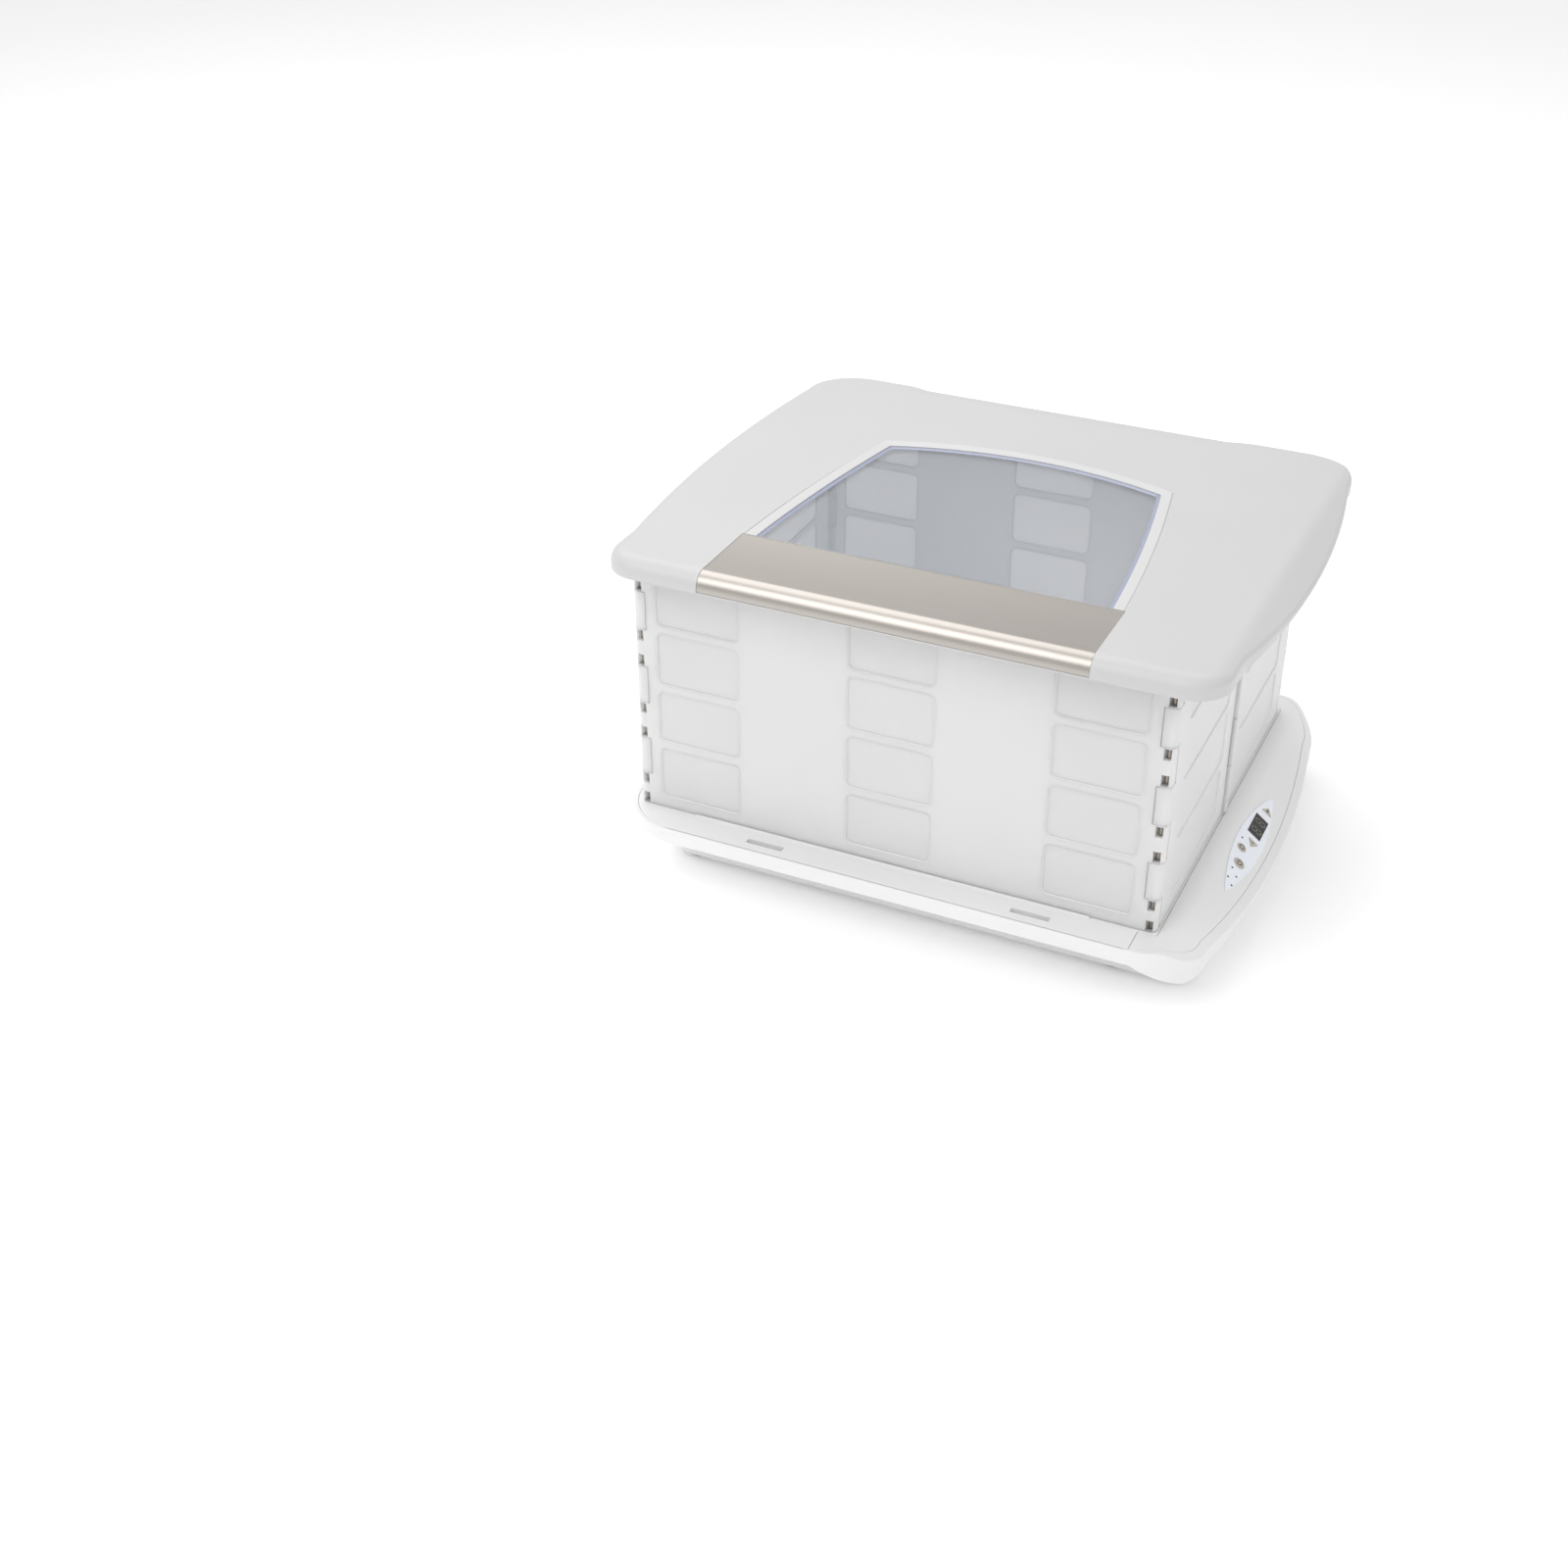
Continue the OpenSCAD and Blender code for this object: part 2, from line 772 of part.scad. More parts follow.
module long_wall() {
  difference() {
    union() {
      translate([xl + 2 * kr, yf, deck_z]) cube([wall_w - 4 * kr, wall_t, wall_h]);
      both_x() for (i = [0:2:6]) translate([xr - kr, yf + kr, 0]) band(i) wall_knuckle2d();
    }
    both_x() {
      for (i = [1:2:5]) translate([xr - 2 * kr - hinge_gap, yf - 1, deck_z + band_lo(i)])
        cube([kr, wall_t + 2, band_hi(i) - band_lo(i)]);
      translate([xr - kr, yf + kr, deck_z - 1]) cylinder(r = pin_r, h = wall_h + 2);
      for (i = [0:2:6], z = [band_lo(i) + 0.8, band_hi(i) - 9.2])
        translate([xr - kr - 2.6, yf - 1, deck_z + z]) cube([5, kr + 1, 8.4]);
    }
    long_pockets(yf);
  }
}

module front_wall() { color("gainsboro") long_wall(); }

module back_wall() { color("gainsboro") mirror([0, 1, 0]) long_wall(); }

// Side leaf on the right front; parity says which middle barrels it carries
module leaf(parity) {
  y0 = yf + 2 * kr + hinge_gap;
  difference() {
    union() {
      translate([xr - wall_t, y0, deck_z + leaf_lift])
        cube([wall_t, -y0 - hinge_gap, wall_h - leaf_lift]);
      for (i = [1:2:5]) translate([xr - kr, yf + kr, 0]) band(i) leaf_knuckle2d();
      for (i = [0:barrel_count - 1]) if (i % 2 == parity)
        translate([mid_x, 0, deck_z + barrel_edge + i * barrel_step + hinge_gap / 2])
          cylinder(r = barrel_r, h = barrel_step - hinge_gap);
    }
    translate([xr - kr, yf + kr, deck_z - 1]) cylinder(r = pin_r + pin_clear, h = wall_h + 2);
    translate([mid_x, 0, deck_z - 1])
      cylinder(r = mid_pin_r + (parity == 0 ? 0 : pin_clear), h = wall_h + 2);
    for (i = [0:barrel_count - 1]) if (i % 2 != parity)
      translate([mid_x, 0, deck_z + barrel_edge + i * barrel_step - hinge_gap / 2])
        cylinder(r = barrel_r + hinge_gap, h = barrel_step + hinge_gap);
    for (x = [xr - pocket_depth, xr - wall_t - 1]) translate([x, 0, deck_z])
      rotate([90, 0, 90]) linear_extrude(1 + pocket_depth * (x < xr - wall_t ? 1 : 0))
        pocket_grid([y0 / 2 - 1], leaf_pocket_w);
  }
}

module right_front_leaf() { color("gainsboro") leaf(0); }
module right_rear_leaf() { color("gainsboro") mirror([0, 1, 0]) leaf(1); }
module left_front_leaf() { color("gainsboro") mirror_x() leaf(0); }
module left_rear_leaf() { color("gainsboro") mirror_x() mirror([0, 1, 0]) leaf(1); }

module corner_pins() {
  both_x() translate([xr - kr, yf + kr, deck_z + 0.5]) cylinder(r = pin_r, h = wall_h - 1);
}

module mid_pin() {
  translate([mid_x, 0, deck_z + barrel_edge + 0.5])
    cylinder(r = mid_pin_r, h = wall_h - 2 * barrel_edge - 1);
}

module front_pins() { color("silver") corner_pins(); }
module back_pins() { color("silver") mirror([0, 1, 0]) corner_pins(); }
module right_mid_pin() { color("silver") mid_pin(); }
module left_mid_pin() { color("silver") mirror_x() mid_pin(); }

// ---- lid ----

module lid_out(d = 0) {
  intersection() {
    outline(-half_x + d, half_x - d, half_y - d, lid_corner - d);
    union() {
      outline(-half_x + d, half_x - d, half_y - d, lid_back_corner - d);
      translate([-half_x, -half_y]) square([foot_w, half_y]);
    }
  }
}

// Window outline grown by g; the front edge grows at most to the trim
module window2d(g = 0) {
  chord = sqrt(win_side * win_side + (win_front - win_back) * (win_front - win_back));
  rise = 3;
  rs = (chord * chord / 4 + rise * rise) / (2 * rise);
  nx = win_side / chord;
  ny = (win_front - win_back) / chord;
  cx = (win_front + win_back) / 2 - (rs - rise) * nx;
  cy = win_y + win_side / 2 - (rs - rise) * ny;
  rb = (win_back * win_back + win_bow * win_bow) / (2 * win_bow);
  front = win_y - min(g, 1.6);
  intersection() {
    translate([win_x + cx, cy]) circle(r = rs + g, $fn = big_fn);
    translate([win_x - cx, cy]) circle(r = rs + g, $fn = big_fn);
    translate([win_x, win_y + win_side + win_bow - rb]) circle(r = rb + g, $fn = big_fn);
    translate([win_x - 200, front]) square([400, 300]);
  }
}

// Y-Z section of the lid edge, d below its outer face
module nose(d = 0) {
  r = nose_r - d;
  low = lid_z0 - 5;
  translate([-half_y + d, low]) square([half_y, lid_z1 - nose_r - low]);
  translate([0, low]) square([half_y - d, lid_z1 - nose_r - lid_fall - low]);
  translate([-back_edge, lid_z1 - nose_r]) circle(r = r);
  translate([back_edge, lid_z1 - nose_r - lid_fall]) circle(r = r);
  polygon([[-back_edge, low], [-back_edge, lid_z1 - d], [fall_y, lid_z1 - d],
      [back_edge, lid_z1 - lid_fall - d], [back_edge, low]]);
}

// X-Z section of the lid: round left edge, sloping right wing
module lid_section(d = 0) {
  r = 9 - d;
  translate([-half_x + d, lid_z0 - 5]) square([half_x + ridge_x - d, lid_h + 5 - 9]);
  translate([-half_x + 9, lid_z0 - 5]) square([half_x + ridge_x - 9, lid_h + 5 - d]);
  translate([-half_x + 9, lid_z1 - 9]) circle(r = r);
  polygon([[ridge_x - 1, lid_z0 - 5], [ridge_x - 1, lid_z1 - d],
      [ridge_x - d * 0.27, lid_z1 - d], [half_x - d, lid_z1 - side_drop - d],
      [half_x - d, lid_z0 - 5]]);
}

module trim_zone(g = 0) {
  translate([win_x, 0, 0]) along_x(2 * (trim_half + g)) intersection() {
    children();
    translate([-half_y - 5, lid_z0 + 1.2 - g]) square([5 + reach_front + trim_rear + g, 40]);
  }
}

liner_posts = [[-190, -110], [-190, 110], [170, -110], [170, 110], [-110, 130], [100, 130]];

// Screw sunk flush into the liner's underside
module lid_screw_shape() {
  screw_shape(wall_top, ceiling, 1.25, 2.6, 1.2);
}

module lid_shell() {
  color("white")
  difference() {
    intersection() {
      prism(lid_z0, lid_z1) lid_out();
      along_y() lid_section();
      along_x() nose();
    }
    intersection() {
      prism(lid_z0 - 1, ceiling) lid_out(lid_skin);
      along_y() lid_section(lid_skin);
      along_x() nose(lid_skin);
    }
    prism(lid_z0, lid_z1 + 1) window2d(1);
    prism(lid_z1 - 1.4, lid_z1 + 1) window2d(bezel_w + 0.2);
    trim_zone(0.15) difference() {
      translate([-half_y - 5, lid_z0 - 5]) square([half_y + 5, lid_h + 15]);
      nose(trim_t + 0.3);
    }
    // Finger scoop in the back edge
    translate([win_x - trim_half, scoop_y, scoop_z]) rotate([-8.5, 0, 0])
      cube([2 * trim_half, 60, 20]);
  }
  color("white") difference() {
    for (p = liner_posts) at(p, wall_top + liner_t)
      cylinder(r = 4, h = ceiling - wall_top - liner_t + 0.5);
    for (p = liner_posts) at(p, wall_top) cylinder(r = 1.25, h = ceiling - wall_top);
  }
}

module lid_liner() {
  rib_gap = 0.8;
  rib_t = 1.8;
  color("whitesmoke")
  difference() {
    union() {
      intersection() {
        prism(wall_top, wall_top + liner_t) lid_out(lid_skin + 2.4);
        along_y() lid_section(lid_skin + fit);
        along_x() nose(lid_skin + fit);
      }
      for (s = [-1, 1], x = [wc - 110, wc + 110])
        translate([x - 30, s * (wall_d / 2 + rib_gap + rib_t / 2) - rib_t / 2, lid_z0 + 0.5])
          cube([60, rib_t, lid_lap]);
      for (x = [xl - rib_gap - rib_t, xr + rib_gap], y = [-85, 85])
        translate([x, y - 25, lid_z0 + 0.5]) cube([rib_t, 50, lid_lap]);
    }
    prism(wall_top - 1, wall_top + liner_t + 1) window2d(13);
    for (p = liner_posts) at(p) lid_screw_shape();
  }
}

module window_frame() {
  color("white") prism(lid_z1 - 1.4, lid_z1 - 0.5) difference() {
    window2d(bezel_w);
    window2d(1);
  }
}

module window_pane() {
  color("lightsteelblue", 0.4) prism(ceiling - pane_t, ceiling) window2d(6);
}

module window_gasket() {
  color("slateblue") prism(ceiling, ceiling + 0.8) difference() {
    window2d(0.9);
    window2d(-2);
  }
}

module handle_trim() {
  color("silver")
  trim_zone() difference() {
    nose(0.3);
    nose(0.3 + trim_t);
    translate([0, lid_z0 - 10]) square([half_y + 5, 60]);
  }
}

module lid_latches() {
  color("whitesmoke")
  for (sx = [-1, 1], sy = [-1, 1]) translate([sx * latch_x - latch_w / 2, 0, lid_z0 - 6]) {
    translate([0, sy * latch_y - 1.2, 0]) cube([latch_w, 2.4, lid_lap + 6]);
    translate([0, sy * (latch_y + 1) - 1.2, 0]) cube([latch_w, 2.4, 2]);
  }
}

module lid_screws() {
  color("silver")
  for (p = liner_posts) at(p) lid_screw_shape();
}

// ---- rack ----

module bar_x(x0, x1, y, z, r) {
  translate([x0, y, z]) rotate([0, 90, 0]) cylinder(r = r, h = x1 - x0);
}

module bar_y(x, y0, y1, z, r) {
  translate([x, y0, z]) rotate([-90, 0, 0]) cylinder(r = r, h = y1 - y0);
}

module rack_frame() {
  r = rim_wire / 2;
  color("silver") {
    for (s = [-1, 1]) {
      bar_x(wc - rack_cx + rack_r, wc + rack_cx - rack_r, s * rack_cy, rim_z, r);
      bar_y(wc + s * rack_cx, -rack_cy + rack_r, rack_cy - rack_r, rim_z, r);
    }
    for (q = [[1, 1, 0], [-1, 1, 90], [-1, -1, 180], [1, -1, 270]])
      translate([wc + q[0] * (rack_cx - rack_r), q[1] * (rack_cy - rack_r), rim_z])
        rotate([0, 0, q[2]]) rotate_extrude(angle = 90) translate([rack_r, 0]) circle(r = r);
  }
}

module rack_cross_wires() {
  color("silver")
  for (i = [1:cross_count])
    bar_y(wc - rack_cx + i * cross_step, -rack_cy, rack_cy, cross_z, grid_wire / 2);
}

module rack_long_wires() {
  inner = rack_cx - rim_wire / 2;
  color("silver")
  for (i = [1:long_count])
    bar_x(wc - inner, wc + inner, -rack_cy + i * 2 * rack_cy / (long_count + 1), long_z,
        grid_wire / 2);
}

module rack_stop_balls() {
  color("silver")
  difference() {
    for (sx = [-1, 1], sy = [-1, 1])
      translate([wc + sx * pivot_x, sy * (leg_y - leg_wire / 2 - 2.6), cross_z])
        sphere(r = 2.4);
    for (sx = [-1, 1]) bar_y(wc + sx * pivot_x, -rack_cy, rack_cy, cross_z, grid_wire / 2);
  }
}

// Leg in its own frame: pivot axis on local Y through the origin, folded towards +X
module leg() {
  r = leg_wire / 2;
  bend = 10;
  for (s = [-1, 1]) {
    difference() {
      union() {
        bar_y(0, s * leg_y - r, s * leg_y + r, 0, eye_out);
        bar_x(0, leg_len - bend, s * leg_y, -leg_drop, r);
      }
      bar_y(0, s * leg_y - 2 * r, s * leg_y + 2 * r, 0, eye_in);
    }
    translate([leg_len - bend, s * (leg_y - bend), -leg_drop]) rotate([0, 0, s > 0 ? 0 : -90])
      rotate_extrude(angle = 90) translate([bend, 0]) circle(r = r);
  }
  bar_y(leg_len, -leg_y + bend, leg_y - bend, -leg_drop, r);
}

module left_leg() {
  color("silver") translate([wc - pivot_x, 0, cross_z]) rotate([0, leg_tilt, 0]) leg();
}

module right_leg() {
  color("silver")
  translate([wc + pivot_x, 0, cross_z]) rotate([0, 0, 180]) rotate([0, leg_tilt, 0]) leg();
}

base_shell();
base_deck();
control_cover();
keypad_overlay();
display_lens();
display_digits();
indicator_lights();
display_module();
control_board();
tact_switches();
power_board();
transformer();
relay();
capacitors();
heater_plate();
heating_element();
element_clips();
insulation_pad();
temperature_sensor();
sensor_clips();
thermal_fuse();
water_tray();
power_inlet();
inlet_pins();
rubber_feet();
base_screws();
cover_screws();
wiring();
button_power();
button_mode();
button_up();
button_down();
front_wall();
back_wall();
right_front_leaf();
right_rear_leaf();
left_front_leaf();
left_rear_leaf();
front_pins();
back_pins();
right_mid_pin();
left_mid_pin();
lid_shell();
lid_liner();
window_frame();
window_pane();
window_gasket();
handle_trim();
lid_latches();
lid_screws();
rack_frame();
rack_cross_wires();
rack_long_wires();
rack_stop_balls();
left_leg();
right_leg();
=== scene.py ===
"""Looks of a folding heated proofing box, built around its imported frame."""

import json
import math

import bmesh
import bpy
from mathutils import Matrix, Vector


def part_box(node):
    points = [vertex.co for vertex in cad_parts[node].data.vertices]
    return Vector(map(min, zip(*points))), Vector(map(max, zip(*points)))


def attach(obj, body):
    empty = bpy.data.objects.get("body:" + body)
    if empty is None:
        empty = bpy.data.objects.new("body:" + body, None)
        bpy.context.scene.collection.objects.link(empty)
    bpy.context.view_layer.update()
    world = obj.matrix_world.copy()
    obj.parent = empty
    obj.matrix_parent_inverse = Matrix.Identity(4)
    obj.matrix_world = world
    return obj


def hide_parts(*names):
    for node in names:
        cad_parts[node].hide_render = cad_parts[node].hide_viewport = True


bl_info = {
    "name": "Proofing box looks",
    "version": (1, 0, 0),
    "blender": (4, 5, 0),
    "location": "3D View > Sidebar > Proofer",
    "description": "Builds the visible pieces of a folding heated proofing box",
    "category": "Object",
}

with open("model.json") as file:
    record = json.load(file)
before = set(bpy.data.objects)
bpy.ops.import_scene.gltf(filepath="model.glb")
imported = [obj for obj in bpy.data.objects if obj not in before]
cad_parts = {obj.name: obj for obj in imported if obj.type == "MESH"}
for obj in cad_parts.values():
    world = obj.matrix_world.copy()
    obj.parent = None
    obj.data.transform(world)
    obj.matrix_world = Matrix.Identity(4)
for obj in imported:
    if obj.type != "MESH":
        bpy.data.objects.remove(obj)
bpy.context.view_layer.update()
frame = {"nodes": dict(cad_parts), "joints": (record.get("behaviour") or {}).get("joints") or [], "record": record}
MM = 0.001
WELD = 0.002 * MM
FLAT = math.radians(0.4)

BODY_OF = {node: body for body, nodes in frame["record"]["behaviour"]["bodies"].items()
           for node in nodes}
SLOT_OF = {part["node"]: part["material_slot"] for part in frame["record"]["subparts"]}
JOINT = {joint["name"]: joint for joint in frame["joints"]}


# ---- settings ----


class ProoferFinish(bpy.types.PropertyGroup):
    """Colours and surface qualities of the mouldings and metals."""

    base_white: bpy.props.FloatVectorProperty(
        name="Base plastic", description="Colour of the heated base", subtype="COLOR",
        size=3, default=(0.80, 0.805, 0.80), min=0, max=1)
    wall_white: bpy.props.FloatVectorProperty(
        name="Wall plastic", description="Colour of the folding walls", subtype="COLOR",
        size=3, default=(0.70, 0.70, 0.70), min=0, max=1)
    lid_white: bpy.props.FloatVectorProperty(
        name="Lid plastic", description="Colour of the lid", subtype="COLOR",
        size=3, default=(0.565, 0.565, 0.565), min=0, max=1)
    steel: bpy.props.FloatVectorProperty(
        name="Trim steel", description="Colour of the brushed trim", subtype="COLOR",
        size=3, default=(0.46, 0.43, 0.40), min=0, max=1)
    key_tone: bpy.props.FloatVectorProperty(
        name="Key colour", description="Colour of the keys", subtype="COLOR",
        size=3, default=(0.52, 0.48, 0.41), min=0, max=1)
    plastic_roughness: bpy.props.FloatProperty(
        name="Plastic roughness", description="Roughness of the mouldings",
        subtype="FACTOR", default=0.42, min=0.05, max=1)


class ProoferShape(bpy.types.PropertyGroup):
    """Sizes of details that the frame doesn't set."""

    edge_round: bpy.props.FloatProperty(
        name="Edge rounding", description="Rounding of moulded edges", subtype="DISTANCE",
        unit="LENGTH", default=0.45 * MM, min=0.05 * MM, max=1 * MM)
    lid_corner: bpy.props.FloatProperty(
        name="Lid front corner", description="Plan radius of the lid's front corners",
        subtype="DISTANCE", unit="LENGTH", default=26 * MM, min=10 * MM, max=48 * MM)
    lid_back_corner: bpy.props.FloatProperty(
        name="Lid back corner", description="Plan radius of the lid's back corners",
        subtype="DISTANCE", unit="LENGTH", default=44 * MM, min=10 * MM, max=48 * MM)
    back_fall: bpy.props.FloatProperty(
        name="Back fall", description="Fall of the lid's top towards its back edge",
        subtype="DISTANCE", unit="LENGTH", default=2.5 * MM, min=0, max=3 * MM)
    bow_left: bpy.props.FloatProperty(
        name="Left bow", description="Radius of the bowed left side", subtype="DISTANCE",
        unit="LENGTH", default=1.1, min=0.5, max=5)
    bow_right: bpy.props.FloatProperty(
        name="Right bow", description="Radius of the bowed control side", subtype="DISTANCE",
        unit="LENGTH", default=0.85, min=0.5, max=5)
    nose_radius: bpy.props.FloatProperty(
        name="Nose radius", description="Radius of the lid's front and back nose",
        subtype="DISTANCE", unit="LENGTH", default=11 * MM, min=4 * MM, max=12 * MM)
    pocket_width: bpy.props.FloatProperty(
        name="Pocket width", description="Width of a pocket on the long walls",
        subtype="DISTANCE", unit="LENGTH", default=64 * MM, min=40 * MM, max=76 * MM)
    leaf_pocket_width: bpy.props.FloatProperty(
        name="Leaf pocket width", description="Width of a pocket on a side leaf",
        subtype="DISTANCE", unit="LENGTH", default=112 * MM, min=60 * MM, max=120 * MM)
    bead_radius: bpy.props.FloatProperty(
        name="Bead radius", description="Radius of the bead that edges a wall pocket",
        subtype="DISTANCE", unit="LENGTH", default=0.5 * MM, min=0.2 * MM, max=0.8 * MM)
    wing_drop: bpy.props.FloatProperty(
        name="Wing drop", description="Fall of the lid's right wing", subtype="DISTANCE",
        unit="LENGTH", default=11 * MM, min=2 * MM, max=11 * MM)
    wing_width: bpy.props.FloatProperty(
        name="Wing width", description="Width of the lid's right wing", subtype="DISTANCE",
        unit="LENGTH", default=19 * MM, min=8 * MM, max=30 * MM)
    scoop_depth: bpy.props.FloatProperty(
        name="Scoop depth", description="Depth of the finger scoop in the back edge",
        subtype="DISTANCE", unit="LENGTH", default=3 * MM, min=1 * MM, max=6 * MM)
    cross_recess: bpy.props.FloatProperty(
        name="Cross recess", description="Width of a screw's cross recess",
        subtype="DISTANCE", unit="LENGTH", default=0.9 * MM, min=0.4 * MM, max=1.5 * MM)


class ProoferStage(bpy.types.PropertyGroup):
    """Camera, light and floor."""

    camera_place: bpy.props.FloatVectorProperty(
        name="Camera place", description="Where the camera stands", subtype="TRANSLATION",
        unit="LENGTH", size=3, default=(0.45223, -1.30395, 0.89349))
    camera_turn: bpy.props.FloatVectorProperty(
        name="Camera turn", description="The camera's rotation", subtype="EULER",
        unit="ROTATION", size=3,
        default=(math.radians(57.763), math.radians(0.2), math.radians(25.388)))
    lens: bpy.props.FloatProperty(
        name="Lens", description="Focal length in millimetres", default=48.52, min=20, max=200)
    sky: bpy.props.FloatProperty(
        name="Sky", description="Strength of the even light", default=0.72, min=0, max=5)
    key_power: bpy.props.FloatProperty(
        name="Key light", description="Power of the large soft light", unit="POWER",
        default=20, min=0, max=500)
    floor_glow: bpy.props.FloatProperty(
        name="Floor glow", description="Light given off by the lit paper floor", default=0.12,
        min=0, max=1)
    fill_power: bpy.props.FloatProperty(
        name="Fill light", description="Power of the light from the front", unit="POWER",
        default=18, min=0, max=500)
    side_power: bpy.props.FloatProperty(
        name="Side light", description="Power of the light from the control side", unit="POWER",
        default=5, min=0, max=500)


# ---- materials ----


def shader(name):
    """A new node material and its principled shader."""
    material = bpy.data.materials.new(name)
    material.use_nodes = True
    tree = material.node_tree
    return material, tree, tree.nodes["Principled BSDF"]


def noise_on(tree, scale, detail=3.0, stretch=(1, 1, 1), roughness=0.5):
    """Noise on the object's own coordinates, stretched along its axes."""
    place = tree.nodes.new("ShaderNodeTexCoord")
    mapping = tree.nodes.new("ShaderNodeMapping")
    mapping.inputs["Scale"].default_value = stretch
    noise = tree.nodes.new("ShaderNodeTexNoise")
    noise.inputs["Scale"].default_value = scale
    noise.inputs["Detail"].default_value = detail
    noise.inputs["Roughness"].default_value = roughness
    tree.links.new(place.outputs["Object"], mapping.inputs["Vector"])
    tree.links.new(mapping.outputs["Vector"], noise.inputs["Vector"])
    return noise.outputs["Fac"]


def tint_by(tree, bsdf, factor, dark, light):
    """Base colour between two tones."""
    ramp = tree.nodes.new("ShaderNodeValToRGB")
    for stop, place, tone in zip(ramp.color_ramp.elements, (0.35, 0.65), (dark, light)):
        stop.position = place
        stop.color = (*tone, 1)
    tree.links.new(factor, ramp.inputs["Fac"])
    tree.links.new(ramp.outputs["Color"], bsdf.inputs["Base Color"])


def rough_by(tree, bsdf, factor, low, high):
    """Roughness between two values."""
    spread = tree.nodes.new("ShaderNodeMapRange")
    spread.inputs["From Min"].default_value = 0.3
    spread.inputs["From Max"].default_value = 0.7
    spread.inputs["To Min"].default_value = low
    spread.inputs["To Max"].default_value = high
    tree.links.new(factor, spread.inputs["Value"])
    tree.links.new(spread.outputs["Result"], bsdf.inputs["Roughness"])


def bump_by(tree, bsdf, factor, strength, distance):
    """Fine relief."""
    bump = tree.nodes.new("ShaderNodeBump")
    bump.inputs["Strength"].default_value = strength
    bump.inputs["Distance"].default_value = distance
    tree.links.new(factor, bump.inputs["Height"])
    tree.links.new(bump.outputs["Normal"], bsdf.inputs["Normal"])


def scaled(colour, amount):
    return tuple(min(1.0, c * amount) for c in colour)


def moulded_plastic(name, colour, roughness, grain=900.0, glow=0.0):
    """Satin moulding: faint flow marks and fine grain; glow is how much light soaks through."""
    material, tree, bsdf = shader(name)
    tint_by(tree, bsdf, noise_on(tree, 7.0, 4.0), scaled(colour, 0.985), scaled(colour, 1.01))
    fine = noise_on(tree, grain, 2.0)
    rough_by(tree, bsdf, fine, roughness - 0.05, roughness + 0.06)
    bump_by(tree, bsdf, fine, 0.25, 0.05 * MM)
    bsdf.inputs["IOR"].default_value = 1.5
    bsdf.inputs["Subsurface Weight"].default_value = glow
    bsdf.inputs["Subsurface Radius"].default_value = (1, 1, 1)
    bsdf.inputs["Subsurface Scale"].default_value = 10 * MM
    return material


def brushed_metal(name, colour, stretch, low, high, contrast=0.06):
    """Metal with fine scratches along one axis."""
    material, tree, bsdf = shader(name)
    lines = noise_on(tree, 60.0, 6.0, stretch, 0.7)
    tint_by(tree, bsdf, lines, scaled(colour, 1 - contrast), scaled(colour, 1 + contrast))
    rough_by(tree, bsdf, lines, low, high)
    bump_by(tree, bsdf, lines, 0.12, 0.03 * MM)
    bsdf.inputs["Metallic"].default_value = 1.0
    return material


def drawn_wire(name, colour, low=0.12, high=0.26):
    """Plated wire with a slightly uneven polish."""
    material, tree, bsdf = shader(name)
    patches = noise_on(tree, 160.0, 4.0)
    tint_by(tree, bsdf, patches, scaled(colour, 0.9), scaled(colour, 1.06))
    rough_by(tree, bsdf, patches, low, high)
    bump_by(tree, bsdf, noise_on(tree, 1400.0, 2.0), 0.1, 0.02 * MM)
    bsdf.inputs["Metallic"].default_value = 1.0
    return material


def speckled(name, colour, roughness, scale, spread=0.12, metallic=0.0, relief=0.05 * MM):
    """A plain solid material with fine colour and surface variation."""
    material, tree, bsdf = shader(name)
    grains = noise_on(tree, scale, 4.0)
    tint_by(tree, bsdf, grains, scaled(colour, 1 - spread), scaled(colour, 1 + spread))
    rough_by(tree, bsdf, grains, roughness - 0.06, roughness + 0.08)
    bump_by(tree, bsdf, grains, 0.3, relief)
    bsdf.inputs["Metallic"].default_value = metallic
    return material


def clear_sheet(name, colour, low, high, cover):
    """Clear plastic with a breath of haze; cover is how much it hides."""
    material, tree, bsdf = shader(name)
    haze = noise_on(tree, 18.0, 3.0)
    tint_by(tree, bsdf, haze, scaled(colour, 0.98), colour)
    rough_by(tree, bsdf, haze, low, high)
    bsdf.inputs["Alpha"].default_value = cover
    bsdf.inputs["IOR"].default_value = 1.49
    return material


def circuit_board(name):
    """Green lacquer over copper tracks."""
    material, tree, bsdf = shader(name)
    place = tree.nodes.new("ShaderNodeTexCoord")
    tracks = tree.nodes.new("ShaderNodeTexBrick")
    tracks.inputs["Scale"].default_value = 90.0
    tracks.inputs["Color1"].default_value = (0.012, 0.10, 0.035, 1)
    tracks.inputs["Color2"].default_value = (0.016, 0.13, 0.045, 1)
    tracks.inputs["Mortar"].default_value = (0.05, 0.24, 0.09, 1)
    tree.links.new(place.outputs["Object"], tracks.inputs["Vector"])
    tree.links.new(tracks.outputs["Color"], bsdf.inputs["Base Color"])
    rough_by(tree, bsdf, noise_on(tree, 300.0), 0.2, 0.32)
    return material


